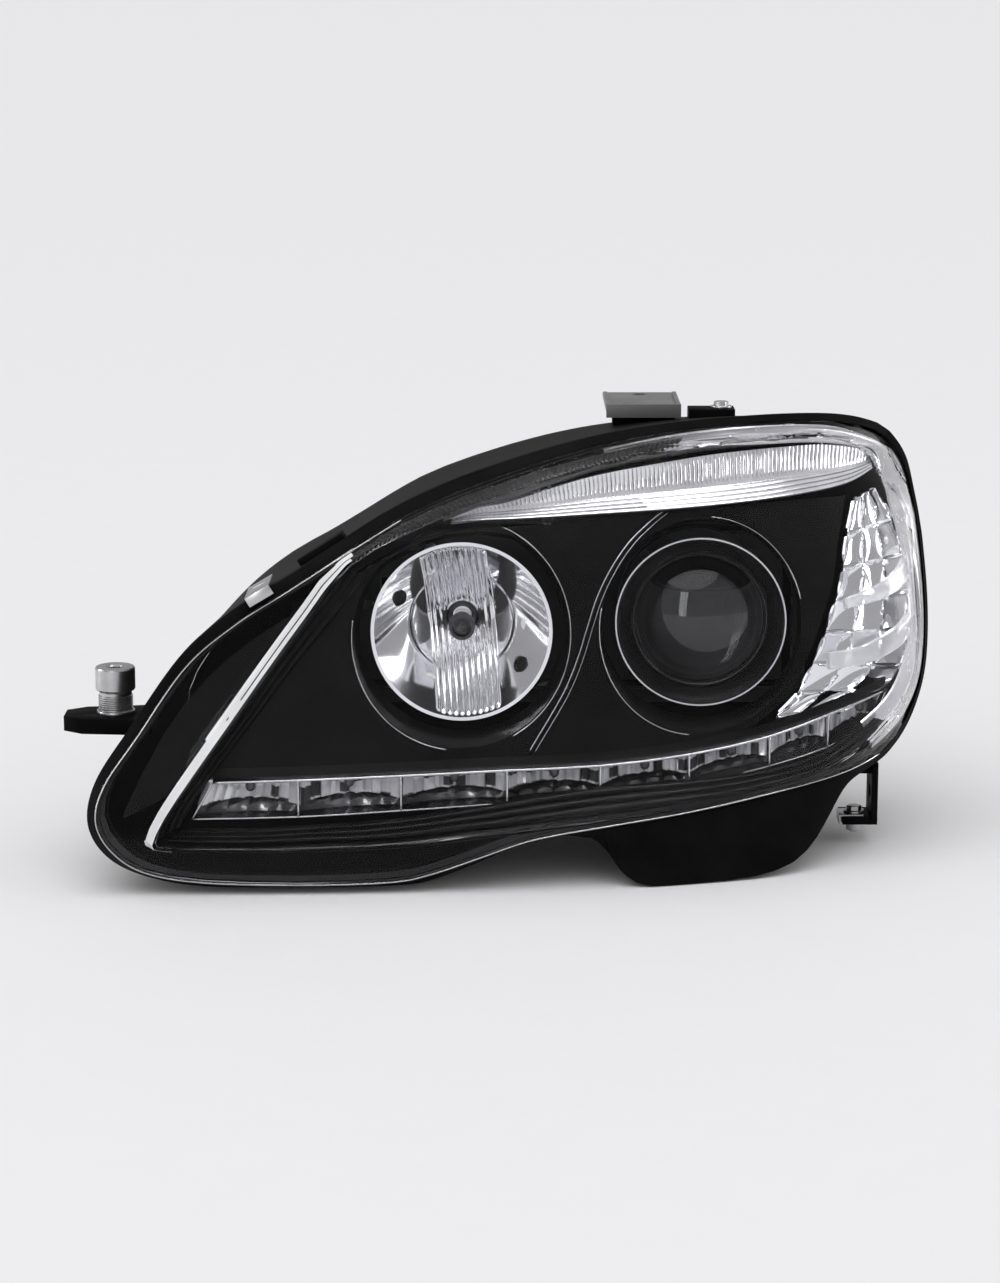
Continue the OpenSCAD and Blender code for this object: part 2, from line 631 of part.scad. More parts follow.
module high_bulb_base() {
  color([0.7, 0.7, 0.72])
  union() {
    rod(hb, 9, -38, -36.9);
    rod(hb, 13.5, -36.95, -33);
    block([hb[0] - 8, -33.1, hb[1] - 4], [hb[0] + 8, -16, hb[1] + 4]);
    turned(hb, [[5.6, -74], [7.4, -74], [7.4, -64], [5.6, -64]]);
    for (s = [-1, 1]) block([hb[0] + s * 6.8 - 0.8, -66, hb[1] - 2],
        [hb[0] + s * 6.8 + 0.8, -37.5, hb[1] + 2]);
  }
}

module high_bulb_clip() {
  color([0.75, 0.75, 0.77])
  translate([hb[0], 0, hb[1]]) {
    translate([-14, -31.9, 16]) rotate([0, 90, 0]) cylinder(r = 0.8, h = 28, $fn = 16);
    for (x = [-10, 10]) translate([x, -31.9, -13]) cylinder(r = 0.8, h = 29, $fn = 16);
    translate([-10.8, -31.9, -13]) rotate([0, 90, 0]) cylinder(r = 0.8, h = 21.6, $fn = 16);
  }
}

module projector_shroud() {
  color([0.1, 0.1, 0.11])
  turned(pj, [[40.8, -44], [42.8, -44], [42.8, -53], [49, -62], [49, -63], [47.8, -63.5], [40.8, -55]]);
}

module lens_retainer() {
  color([0.75, 0.75, 0.77])
  turned(pj, [[36.8, -53.5], [40.5, -53.5], [40.5, -47], [38.2, -47], [38.2, -50.1], [36.8, -50.1]]);
}

module projector_lens() {
  rr = 36.6;
  big = (rr * rr + lens_bulge * lens_bulge) / 2 / lens_bulge;
  dome = [for (k = [0:10]) let(r = rr * k / 10) [r, -50.1 - lens_bulge + big - sqrt(big * big - r * r)]];
  color([0.8, 0.84, 0.88, 0.5])
  turned(pj, concat([[0, -47]], dome, [[lens_r, -50.1], [lens_r, -47]]));
}

module projector_barrel() {
  color([0.3, 0.3, 0.31])
  difference() {
    turned(pj, [[37.6, -46.95], [40.4, -46.95], [39.5, -12], [46, -12], [46, -8], [37.6, -8]]);
    for (a = [45, 135, 225, 315]) rod(pj + 43 * [cos(a), sin(a)], 2.1, -15, 5);
  }
}

module projector_shade() {
  color([0.2, 0.2, 0.2])
  intersection() {
    rod(pj, 37.55, -14, -12.6);
    block([pj[0] - 50, -20, pj[1] - 50], [pj[0] + 50, 0, pj[1] - 1]);
  }
}

function oval(d) = [for (k = [0:10]) let(y = -4 + 48 * k / 10)
    [38 * sqrt(1 - pow((y + 4) / 51, 2)) - 0.5 + d, y]];

module projector_reflector() {
  inn = oval(-1.8);
  out = oval(0);
  color([0.86, 0.86, 0.88])
  difference() {
    turned(pj, concat([[36, -7.95], [46, -7.95], [46, -4.05], [37.5, -4.05]], out,
        [for (k = [10:-1:0]) inn[k]]));
    for (a = [45, 135, 225, 315]) rod(pj + 43 * [cos(a), sin(a)], 2.1, -15, 5);
  }
}

module low_bulb_glass() {
  color([0.9, 0.9, 0.9, 0.4])
  turned(pj, [[0, 10], [3, 11], [5.5, 14], [5.5, 43.9], [0, 43.9]]);
}

module low_bulb_base() {
  color([0.7, 0.7, 0.72])
  union() {
    rod(pj, 16, 44.05, 48);
    block([pj[0] - 8, 47.9, pj[1] - 4], [pj[0] + 8, 66, pj[1] + 4]);
  }
}

module low_bulb_clip() {
  color([0.75, 0.75, 0.77])
  translate([pj[0], 0, pj[1]]) {
    translate([-14, 49, 18]) rotate([0, 90, 0]) cylinder(r = 0.8, h = 28, $fn = 16);
    for (x = [-10, 10]) translate([x, 49, -15]) cylinder(r = 0.8, h = 33, $fn = 16);
    translate([-10.8, 49, -15]) rotate([0, 90, 0]) cylinder(r = 0.8, h = 21.6, $fn = 16);
  }
}

module carrier_screws() {
  color([0.72, 0.72, 0.74])
  for (a = [45, 135, 225, 315]) {
    rod(pj + 43 * [cos(a), sin(a)], 2, -12, 6);
    rod(pj + 43 * [cos(a), sin(a)], 2.9, -14.5, -12.02);
  }
}

module motor_plunger() {
  color([0.85, 0.85, 0.83])
  union() {
    rod(spindle, 2.6, 0, yback + 20);
    rod(spindle, 4.2, 30, yback + 16);
    translate([spindle[0], 0, spindle[1]]) sphere(r = 3.2);
  }
}

module adjuster(c) {
  color([0.75, 0.75, 0.77])
  union() {
    rod(c, 3, -12, yback + 6.8);
    rod(c, 6, yback + 6.8, yback + 9);
    translate([c[0], yback + 9, c[1]]) rotate([-90, 0, 0]) cylinder(r = 5, h = 7, $fn = 6);
  }
}

module vertical_adjuster() {
  adjuster(screw_v);
}

module horizontal_adjuster() {
  adjuster(screw_h);
}

module low_cap_seal() {
  color([0.03, 0.03, 0.03])
  tube(pj, 47.3, 50, yback + 6, yback + 14);
}

module low_cap() {
  color([0.05, 0.05, 0.055])
  union() {
    turned(pj, [[50.3, yback + 3], [53, yback + 3], [53, 142], [50, 145.5], [0, 145.5], [0, 142.5],
        [48.5, 142.5], [50.3, 140]]);
    block([pj[0] - 30, 145, pj[1] - 4], [pj[0] + 30, 149.8, pj[1] + 4]);
  }
}

module high_cap_seal() {
  color([0.03, 0.03, 0.03])
  tube(hb, 41.3, 44, yback + 5, yback + 13);
}

module high_cap() {
  color([0.05, 0.05, 0.055])
  union() {
    turned(hb, [[44.3, yback + 3], [47, yback + 3], [47, 132], [44, 135.5], [0, 135.5], [0, 132.5],
        [42.5, 132.5], [44.3, 130]]);
    block([hb[0] - 26, 135, hb[1] - 4], [hb[0] + 26, 140, hb[1] + 4]);
  }
}

module indicator_gasket() {
  color([0.4, 0.1, 0.08])
  tube(ti, 12.1, 16.6, 50.05, 51.6);
}

module indicator_holder() {
  color([0.55, 0.55, 0.53])
  union() {
    turned(ti, [[0, 36], [10, 36], [10, 44], [11.8, 44], [11.8, 51.9], [16.4, 51.9], [16.4, 54], [9, 56],
        [9, 72], [0, 72]]);
    block([ti[0] - 2, 56, ti[1] - 13], [ti[0] + 2, 74, ti[1] + 13]);
  }
}

module indicator_bulb() {
  color([0.9, 0.6, 0.2, 0.6])
  turned(ti, [[0, -2], [6, 0], [10.5, 6], [11.5, 12], [10.5, 18], [7.5, 24], [7.5, 35.95], [0, 35.95]]);
}

housing();
housing_back();
inboard_ear();
housing_pads();
cover_lens();
seal_bead();
bezel_inboard();
bezel_outboard();
upper_trim();
indicator_reflector();
side_reflector();
upper_light_guide();
lower_light_guide();
drl_reflector();
drl_leds();
drl_board();
levelling_motor();
motor_screws();
main_connector();
connector_pins();
breather_caps();
adjuster_bushes();
top_bracket();
bracket_bolts();
lower_bracket();
spring_nut();
rim_clip();
sleeve_washer();
mount_sleeve();
tilt_yoke();
yoke_pins();
ball_socket();
tilt_nut();
beam_carrier();
aim_pins();
aim_nut();
high_reflector();
high_bulb_glass();
high_bulb_base();
high_bulb_clip();
projector_shroud();
lens_retainer();
projector_lens();
projector_barrel();
projector_shade();
projector_reflector();
low_bulb_glass();
low_bulb_base();
low_bulb_clip();
carrier_screws();
motor_plunger();
vertical_adjuster();
horizontal_adjuster();
low_cap_seal();
low_cap();
high_cap_seal();
high_cap();
indicator_gasket();
indicator_holder();
indicator_bulb();
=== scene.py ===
# %% [markdown]
# A car headlight in Blender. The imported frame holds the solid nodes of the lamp, each riding on a moving
# body. This lesson puts fine pieces and finishes over that frame: smooth shells, a clear cover, a fluted
# bowl, a glass projector lens, a row of small mirrors, and the screws and caps at the back. Everything is in
# metres.

# %% Load the frame
import json
import math

import bpy
import numpy as np
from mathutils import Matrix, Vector


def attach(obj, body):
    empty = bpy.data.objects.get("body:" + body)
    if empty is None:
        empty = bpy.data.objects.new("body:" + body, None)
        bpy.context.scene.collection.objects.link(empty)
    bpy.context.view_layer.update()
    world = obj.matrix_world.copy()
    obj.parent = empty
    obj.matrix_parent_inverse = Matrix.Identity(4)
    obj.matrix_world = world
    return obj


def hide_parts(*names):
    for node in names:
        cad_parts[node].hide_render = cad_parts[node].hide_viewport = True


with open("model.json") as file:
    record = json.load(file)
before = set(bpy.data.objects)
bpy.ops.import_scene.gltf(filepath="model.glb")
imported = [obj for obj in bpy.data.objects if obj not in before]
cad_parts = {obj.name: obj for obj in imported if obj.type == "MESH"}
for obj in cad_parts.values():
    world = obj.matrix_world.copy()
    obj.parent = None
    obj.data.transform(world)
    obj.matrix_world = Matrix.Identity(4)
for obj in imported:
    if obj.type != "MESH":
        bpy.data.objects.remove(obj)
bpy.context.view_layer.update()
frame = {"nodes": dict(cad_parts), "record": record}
MM = 0.001
body_of = {n: b for b, ns in frame["record"]["behaviour"]["bodies"].items() for n in ns}
slot_of = {s["node"]: s["material_slot"] for s in frame["record"]["subparts"]}

# %% [markdown]
# The camera comes first. A short lens close by would stretch the near end of a long lamp like this one, so a
# long lens stands nearly two metres away instead. It looks slightly down, so the tops of the brackets show.

# %% Camera
AIM = Vector((-0.002, -0.060, 0.129))
ELEVATION = math.radians(12)
DISTANCE = 1.9
eye = AIM + DISTANCE * Vector((0, -math.cos(ELEVATION), math.sin(ELEVATION)))
bpy.ops.object.camera_add(location=eye, rotation=(math.pi / 2 - ELEVATION, 0, 0))
camera = bpy.context.object
camera.data.sensor_width = 36
camera.data.lens = 91.9
camera.data.clip_end = 200
bpy.context.scene.camera = camera
print("camera at", [round(v, 3) for v in eye])

# %% [markdown]
# The studio starts with an even sky. Glossy plastic that mirrors a white sky looks grey instead of black, so
# rays that leave a glossy surface see a dimmer sky than all other rays do. A light path node makes the
# choice.

# %% Sky
bpy.context.scene.view_settings.view_transform = "Standard"


def node_tree(owner):
    """The emptied node tree of a world or material, with its nodes and its links."""
    owner.use_nodes = True
    tree = owner.node_tree
    tree.nodes.clear()
    return tree, tree.nodes, tree.links


world = bpy.data.worlds.new("studio")
bpy.context.scene.world = world
tree, nodes, links = node_tree(world)
sky = nodes.new("ShaderNodeBackground")
sky.inputs["Color"].default_value = (1, 1, 1, 1)
sky.inputs["Strength"].default_value = 0.76
dim = nodes.new("ShaderNodeBackground")
dim.inputs["Color"].default_value = (1, 1, 1, 1)
dim.inputs["Strength"].default_value = 0.40
path = nodes.new("ShaderNodeLightPath")
mix = nodes.new("ShaderNodeMixShader")
out = nodes.new("ShaderNodeOutputWorld")
links.new(path.outputs["Is Glossy Ray"], mix.inputs[0])
links.new(sky.outputs[0], mix.inputs[1])
links.new(dim.outputs[0], mix.inputs[2])
links.new(mix.outputs[0], out.inputs[0])
print("sky", round(sky.inputs["Strength"].default_value, 2), "in gloss",
      round(dim.inputs["Strength"].default_value, 2))

# %% [markdown]
# A broad sun gives the soft shadow under the lamp. Four soft boxes are seen only in reflections and through
# glass: they draw the bright lines on black plastic and the white patches in the mirrors.

# %% Lights
bpy.ops.object.light_add(type="SUN", location=(0, -1, 3), rotation=(math.radians(14), math.radians(-8), 0))
sun = bpy.context.object
sun.data.energy = 1.0
sun.data.angle = math.radians(70)
sun.visible_glossy = False


def soft_box(name, spot, target, size, power):
    """A large lamp that shows only in reflections and through glass."""
    bpy.ops.object.light_add(type="AREA", location=spot)
    lamp = bpy.context.object
    lamp.name = name
    lamp.data.shape = "RECTANGLE"
    lamp.data.size, lamp.data.size_y = size
    lamp.data.energy = power
    lamp.rotation_euler = (Vector(target) - Vector(spot)).to_track_quat("-Z", "Y").to_euler()
    lamp.visible_diffuse = False
    return lamp


soft_box("box_top", (0.0, -0.1, 1.6), (0, 0, 0.1), (1.8, 0.35), 16)
soft_box("box_left", (-1.9, 0.1, 0.6), (0, 0, 0.1), (0.3, 1.2), 10)
soft_box("box_front", (-0.9, -2.2, 0.9), (0, 0, 0.12), (0.5, 1.6), 9)
soft_box("box_right", (1.9, 0.3, 0.7), (0.2, 0, 0.1), (0.5, 1.0), 9)

# %% [markdown]
# The floor is one pale sheet, so wide that its far edge melts into the sky and no horizon shows.

# %% Floor
bpy.ops.object.select_all(action="DESELECT")
bpy.ops.mesh.primitive_grid_add(x_subdivisions=4, y_subdivisions=4, size=160)
floor = bpy.context.object
floor.name = "floor"
print("floor", [round(v) for v in floor.dimensions])

# %% [markdown]
# A finish here is a small node network: broad noise varies the colour and the gloss a little, and fine noise
# gives the moulded grain or brushed marks through a bump. Object coordinates keep the pattern fixed to the
# piece.

# %% A solid finish
def grey(a):
    """A neutral colour with a touch of blue, as steel and black plastic have."""
    return (a, a, a * 1.02)


def finish(name, low, high, rough, metal=0.0, grain=900, bump=0.0, wear=0.06, shine=0.5, coat=0.0):
    """A solid finish: two colours, roughness, grain cells per metre and a bump height in millimetres."""
    material = bpy.data.materials.new(name)
    tree, nodes, links = node_tree(material)
    spot = nodes.new("ShaderNodeTexCoord")
    turn = nodes.new("ShaderNodeMapping")
    links.new(spot.outputs["Object"], turn.inputs["Vector"])
    broad = nodes.new("ShaderNodeTexNoise")
    broad.inputs["Scale"].default_value = 30
    broad.inputs["Detail"].default_value = 4
    links.new(turn.outputs[0], broad.inputs["Vector"])
    ramp = nodes.new("ShaderNodeValToRGB")
    ramp.color_ramp.elements[0].position = 0.35
    ramp.color_ramp.elements[1].position = 0.65
    ramp.color_ramp.elements[0].color = (*low, 1)
    ramp.color_ramp.elements[1].color = (*high, 1)
    links.new(broad.outputs["Fac"], ramp.inputs["Fac"])
    fine = nodes.new("ShaderNodeTexNoise")
    fine.inputs["Scale"].default_value = grain
    fine.inputs["Detail"].default_value = 3
    links.new(turn.outputs[0], fine.inputs["Vector"])
    gloss = nodes.new("ShaderNodeMapRange")
    gloss.inputs["To Min"].default_value = rough
    gloss.inputs["To Max"].default_value = rough + wear
    links.new(fine.outputs["Fac"], gloss.inputs["Value"])
    shader = nodes.new("ShaderNodeBsdfPrincipled")
    shader.inputs["Metallic"].default_value = metal
    shader.inputs["Coat Weight"].default_value = coat
    shader.inputs["Specular IOR Level"].default_value = shine
    links.new(ramp.outputs["Color"], shader.inputs["Base Color"])
    links.new(gloss.outputs[0], shader.inputs["Roughness"])
    if bump:
        height = nodes.new("ShaderNodeBump")
        height.inputs["Distance"].default_value = bump * MM
        height.inputs["Strength"].default_value = 0.6
        links.new(fine.outputs["Fac"], height.inputs["Height"])
        links.new(height.outputs[0], shader.inputs["Normal"])
    out = nodes.new("ShaderNodeOutputMaterial")
    links.new(shader.outputs[0], out.inputs["Surface"])
    return material


print("a plain black is", grey(0.004))

# %% [markdown]
# A clear moulding bends what is seen through it. It would also throw a hard shadow on the parts behind, which
# a real one hardly does, so shadow rays pass it as if it weren't there.

# %% A clear finish
PLASTIC = 1.5  # refractive index


def clear(name, low, high, rough, ior=PLASTIC, through=1.0):
    """A clear moulding. Light passes it on the way to the parts behind, so they aren't in its shadow."""
    material = finish(name, low, high, rough, wear=0.01, grain=300)
    tree = material.node_tree
    nodes, links = tree.nodes, tree.links
    shader = nodes["Principled BSDF"]
    shader.inputs["Transmission Weight"].default_value = through
    shader.inputs["IOR"].default_value = ior
    see = nodes.new("ShaderNodeBsdfTransparent")
    path = nodes.new("ShaderNodeLightPath")
    mix = nodes.new("ShaderNodeMixShader")
    links.new(path.outputs["Is Shadow Ray"], mix.inputs[0])
    links.new(shader.outputs[0], mix.inputs[1])
    links.new(see.outputs[0], mix.inputs[2])
    links.new(mix.outputs[0], nodes["Material Output"].inputs["Surface"])
    return material


print("clear plastic bends light by", PLASTIC)

# %% [markdown]
# Every slot of the lamp has one finish: its blacks differ in grain and gloss, its metals in colour and wear.
# The cover bends light far less than real plastic does, so that the dark interior stays dark through it.

# %% The finishes of the lamp
looks = {
    "black_housing": finish("black_housing", grey(0.003), grey(0.006), 0.42, grain=1500, bump=0.03, wear=0.14,
                            shine=0.02),
    "clear_cover": clear("clear_cover", grey(0.97), grey(0.99), 0.0, ior=1.17),
    "black_rubber": finish("black_rubber", grey(0.012), grey(0.022), 0.62, grain=1200, bump=0.04, wear=0.15),
    "bezel_black": finish("bezel_black", grey(0.0025), grey(0.005), 0.18, grain=1400, bump=0.003, wear=0.07,
                          shine=0.08),
    "trim_grey": finish("trim_grey", grey(0.03), grey(0.05), 0.24, grain=1400, bump=0.01, wear=0.06,
                        shine=0.3),
    "reflector_chrome": finish("reflector_chrome", grey(0.84), grey(0.90), 0.04, metal=1.0, grain=200,
                               wear=0.03),
    "light_guide": clear("light_guide", grey(0.85), grey(0.95), 0.03, ior=1.5, through=0.72),
    "led_dome": finish("led_dome", grey(0.03), grey(0.06), 0.10, grain=500, wear=0.05, coat=0.5),
    "circuit_board": finish("circuit_board", (0.004, 0.02, 0.01), (0.008, 0.03, 0.015), 0.4, grain=700,
                            bump=0.05, shine=0.2),
    "black_moulding": finish("black_moulding", grey(0.012), grey(0.02), 0.38, grain=1600, bump=0.06,
                             wear=0.14, shine=0.3),
    "zinc_steel": finish("zinc_steel", grey(0.48), grey(0.66), 0.24, metal=1.0, grain=800, bump=0.02,
                         wear=0.16),
    "contact_brass": finish("contact_brass", (0.55, 0.42, 0.2), (0.7, 0.56, 0.3), 0.25, metal=1.0),
    "white_nylon": finish("white_nylon", (0.62, 0.62, 0.58), (0.72, 0.72, 0.68), 0.42, grain=1200, bump=0.03),
    "grey_bracket": finish("grey_bracket", grey(0.13), grey(0.17), 0.36, grain=1800, bump=0.04, wear=0.12),
    "frame_black": finish("frame_black", grey(0.012), grey(0.02), 0.42, grain=1500, bump=0.05, shine=0.3),
    "bulb_glass": clear("bulb_glass", grey(0.95), grey(0.98), 0.0, ior=1.45),
    "bulb_metal": finish("bulb_metal", grey(0.5), grey(0.6), 0.22, metal=1.0, grain=600, wear=0.12),
    "spring_wire": finish("spring_wire", grey(0.6), grey(0.7), 0.2, metal=1.0, grain=900, wear=0.1),
    "shroud_black": finish("shroud_black", grey(0.004), grey(0.008), 0.2, grain=1400, bump=0.004, wear=0.07,
                           shine=0.15),
    "bright_ring": finish("bright_ring", grey(0.55), grey(0.66), 0.14, metal=1.0, grain=600, wear=0.08),
    "lens_glass": clear("lens_glass", grey(0.45), grey(0.5), 0.0, ior=1.5),
    "cast_alloy": finish("cast_alloy", grey(0.03), grey(0.05), 0.55, metal=0.3, grain=1400, bump=0.12,
                         wear=0.2, shine=0.2),
    "shade_steel": finish("shade_steel", grey(0.05), grey(0.08), 0.45, metal=0.8, grain=700),
    "red_rubber": finish("red_rubber", (0.2, 0.02, 0.015), (0.28, 0.04, 0.03), 0.55, grain=900, bump=0.05),
    "holder_grey": finish("holder_grey", grey(0.2), grey(0.27), 0.42, grain=1200, bump=0.05),
    "amber_glass": clear("amber_glass", (0.95, 0.42, 0.06), (0.98, 0.5, 0.1), 0.02),
}
for name, node in frame["nodes"].items():
    node.data.materials.clear()
    node.data.materials.append(looks[slot_of[name]])
print(len(looks), "finishes on", len(frame["nodes"]), "nodes")

# %% [markdown]
# Fine grooves in a mirror hold shadow, and small mirror facets show bright and dark reflections. A sheet
# keeps this painted shade and painted highlight as a number on each point, and this finish mixes its bright
# colour towards a dark one by that number.

# %% A finish with painted light and shade
def finish_with_painted_light(name, low, high, rough, dark, **values):
    """A bright finish that darkens by a sheet's attribute of painted light and shade."""
    material = finish(name, low, high, rough, **values)
    tree = material.node_tree
    painted_light_and_shade = tree.nodes.new("ShaderNodeAttribute")
    painted_light_and_shade.attribute_name = "painted_light_and_shade"
    painted_light_tone = tree.nodes.new("ShaderNodeMix")
    painted_light_tone.data_type = "RGBA"
    painted_light_tone.inputs["A"].default_value = (*grey(dark), 1)
    tree.links.new(painted_light_and_shade.outputs["Fac"], painted_light_tone.inputs["Factor"])
    tree.links.new(tree.nodes["Color Ramp"].outputs["Color"], painted_light_tone.inputs["B"])
    tree.links.new(painted_light_tone.outputs["Result"], tree.nodes["Principled BSDF"].inputs["Base Color"])
    return material


# These mirrors take painted light and shade from their sheets: shaded flute grooves, bright and dark facets,
# glints.
fluted = finish_with_painted_light("fluted_silver", grey(0.74), grey(0.88), 0.12, 0.06, metal=0.75, grain=260, wear=0.08)
fan_silver = finish_with_painted_light("fan_silver", grey(0.86), grey(0.97), 0.08, 0.012, metal=0.4, grain=260, wear=0.06)
# A whitish opaque finish for the cover's step: a painted highlight where light pipes through clear plastic.
step_painted_highlight = finish("step_painted_highlight", grey(0.78), grey(0.88), 0.16, grain=700, bump=0.01, wear=0.08, coat=0.4)
# The mirror of the daytime bowls, painted dark with bright glints: painted reflections.
bowl_painted_reflection = finish_with_painted_light("bowl_painted_reflection", grey(0.5), grey(0.8), 0.12, 0.02, metal=0.9, grain=260, wear=0.1)
liner_silver = finish("liner_silver", grey(0.56), grey(0.68), 0.22, metal=0.65, grain=300, wear=0.08)
# The projector's small reflector is painted dark: a painted shade.
reflector_painted_shade = finish("reflector_painted_shade", grey(0.05), grey(0.09), 0.35, metal=1.0, grain=300)
floor.data.materials.append(finish("floor_paper", grey(0.80), grey(0.805), 0.75, grain=4, wear=0.02))
print(len(bpy.data.materials), "materials in all")

# %% [markdown]
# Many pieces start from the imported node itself: its triangles are copied, merged and joined into flat faces
# again. Then a narrow bevel catches the light along each edge, or a subdivision rounds the shell between
# creased edges.

# %% Helpers for pieces made from a node
def alone(piece):
    """Makes the piece the only selected one."""
    bpy.ops.object.select_all(action="DESELECT")
    bpy.context.view_layer.objects.active = piece
    piece.select_set(True)


def edit(piece, *steps):
    """Runs edit-mode operators on the whole piece."""
    alone(piece)
    bpy.ops.object.mode_set(mode="EDIT")
    bpy.ops.mesh.select_all(action="SELECT")
    for step in steps:
        step()
    bpy.ops.object.mode_set(mode="OBJECT")


def apply(piece, kind, **values):
    """Adds one modifier with the given settings and applies it."""
    alone(piece)
    modifier = piece.modifiers.new(kind.lower(), kind)
    for key, value in values.items():
        setattr(modifier, key, value)
    bpy.ops.object.modifier_apply(modifier=modifier.name)


def place(piece, name, body, slot, *replaced):
    """Names a finished piece, gives it the slot's finish if it has none, puts it on its body, and hides the
    nodes it stands for.
    """
    piece.name = name
    alone(piece)
    bpy.ops.object.transform_apply(location=True, rotation=True, scale=True)
    if not piece.data.materials:
        piece.data.materials.append(looks[slot])
    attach(piece, body)
    if replaced:
        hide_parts(*replaced)
    print(name, len(piece.data.polygons), "faces")
    return piece


def copy_of(node):
    """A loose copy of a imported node, merged into one surface."""
    source = frame["nodes"][node]
    piece = source.copy()
    piece.data = source.data.copy()
    for key in list(piece.keys()):
        if key.startswith("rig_"):
            del piece[key]
    piece.parent = None
    bpy.context.scene.collection.objects.link(piece)
    piece.hide_render = False
    piece.hide_viewport = False
    if piece.data.has_custom_normals:
        alone(piece)
        bpy.ops.mesh.customdata_custom_splitnormals_clear()
    edit(piece, lambda: bpy.ops.mesh.remove_doubles(threshold=2e-6))
    return piece


def softened(node, width, angle=35):
    """The node with its edges bevelled by width millimetres."""
    piece = copy_of(node)
    edit(piece, lambda: bpy.ops.mesh.dissolve_limited(angle_limit=math.radians(1.5)))
    apply(piece, "BEVEL", width=width * MM, segments=2, limit_method="ANGLE",
          angle_limit=math.radians(angle), use_clamp_overlap=True)
    alone(piece)
    bpy.ops.object.shade_smooth_by_angle(angle=math.radians(32))
    return place(piece, node + "_fine", body_of[node], slot_of[node], node)


def rounded(node, angle, crease, levels=2):
    """The node as a smooth shell: edges sharper than angle are creased and the rest is subdivided."""
    piece = copy_of(node)
    flat, square = math.radians(25), math.radians(60)
    edit(piece, lambda: bpy.ops.mesh.tris_convert_to_quads(face_threshold=flat, shape_threshold=square),
         lambda: bpy.ops.mesh.select_all(action="DESELECT"),
         lambda: bpy.ops.mesh.edges_select_sharp(sharpness=math.radians(angle)),
         lambda: bpy.ops.transform.edge_crease(value=crease))
    apply(piece, "SUBSURF", levels=levels, render_levels=levels)
    alone(piece)
    bpy.ops.object.shade_smooth_by_angle(angle=math.radians(28))
    return piece


print("helpers for copied nodes ready")

# %% [markdown]
# The front of the lamp is one curved surface: raked back towards the top and wrapped round the wing. Each
# layer behind it, from the cover to the mirrors, is the same surface moved back, so one function serves them
# all.

# %% The front surface
NOSE = -150  # depth of the foremost point
RAKE_FROM = 30  # height where the front starts to lean back
INBOARD = -235  # end of the window at the grille
OUTBOARD = 262  # end of the window at the wing, at the height of the lamps
WRAP = 170  # how far the wing end lies behind the nose


def front_y(x, z):
    """Depth of the window's outer face in millimetres."""
    z = np.asarray(z, float)
    up = np.maximum(z - RAKE_FROM, 0)
    end = OUTBOARD - 0.0037 * (z - 140) ** 2
    share = np.clip((np.asarray(x, float) - INBOARD) / (end - INBOARD), 0, 0.998)
    return NOSE + 0.16 * up + 0.001 * up**2 + WRAP * (1 - (1 - share**3) ** (1 / 3))


def normal(x, z):
    """The direction straight into the front surface."""
    a = front_y(x + 0.5, z) - front_y(x - 0.5, z)
    b = front_y(x, z + 0.5) - front_y(x, z - 0.5)
    n = np.stack([-a, np.ones_like(a), -b], -1)
    return n / np.linalg.norm(n, axis=-1, keepdims=True)


def behind(x, z, back, inward=0.0):
    """Points back millimetres behind the front along Y, then inward along its normal."""
    x, z = np.asarray(x, float), np.asarray(z, float)
    p = np.stack([x, front_y(x, z) + back, z], -1)
    return p + np.asarray(inward)[..., None] * normal(x, z)


print("front at the middle", round(float(front_y(45, 140)), 1), "and at the wing",
      round(float(front_y(240, 140)), 1))

# %% [markdown]
# The shells are rounded copies. The bezels and the cover are snapped onto the exact layer afterwards, because
# a clear glossy sheet shows the smallest flat in its reflections. The snap moves points in depth only.

# %% Snapping onto a layer
SNAP_NEAR = 0.9  # points this near a layer always move onto it, in millimetres
SNAP_FAR = 5  # points this near move onto it when they also face along it


def points_of(piece):
    """The points of a piece in millimetres."""
    co = np.empty(len(piece.data.vertices) * 3, np.float32)
    piece.data.vertices.foreach_get("co", co)
    return co.reshape(-1, 3) / MM


def move_points(piece, points):
    """Puts the points of a piece at new places in millimetres."""
    piece.data.vertices.foreach_set("co", (points * MM).astype(np.float32).ravel())
    piece.data.update()


def snap(piece, back, inward=0.0, facing=-1):
    """Moves the points near a layer onto it. Facing is -1 for an outer face and 1 for an inner one."""
    p = points_of(piece)
    way = np.array([v.normal for v in piece.data.vertices])
    front = normal(p[:, 0], p[:, 2])
    target = front_y(p[:, 0], p[:, 2]) + back + inward / front[:, 1]
    gap = np.abs(target - p[:, 1])
    near = (gap < SNAP_NEAR) | (gap < SNAP_FAR) & ((way * front).sum(1) * facing > 0.93)
    p[near, 1] = target[near]
    move_points(piece, p)
    return int(near.sum())


print("snap reach", SNAP_NEAR, "and", SNAP_FAR, "mm")

# %% [markdown]
# The housing is one black tub moulding and stays a plain rounded copy. The two bezel plates lie 20 mm behind
# the front, and only their faces that look forward are snapped there, so that the funnels keep their own
# shape.

# %% Housing and bezels
BEZEL_BACK = 20
housing = rounded("housing", angle=32, crease=0.9)
place(housing, "housing_shell", "housing", "black_housing", "housing")

for node in ("bezel_inboard", "bezel_outboard"):
    piece = rounded(node, angle=30, crease=0.86)
    snap(piece, BEZEL_BACK, facing=-1)
    alone(piece)
    bpy.ops.object.shade_smooth_by_angle(angle=math.radians(34))
    place(piece, node + "_plate", "housing", "bezel_black", node)
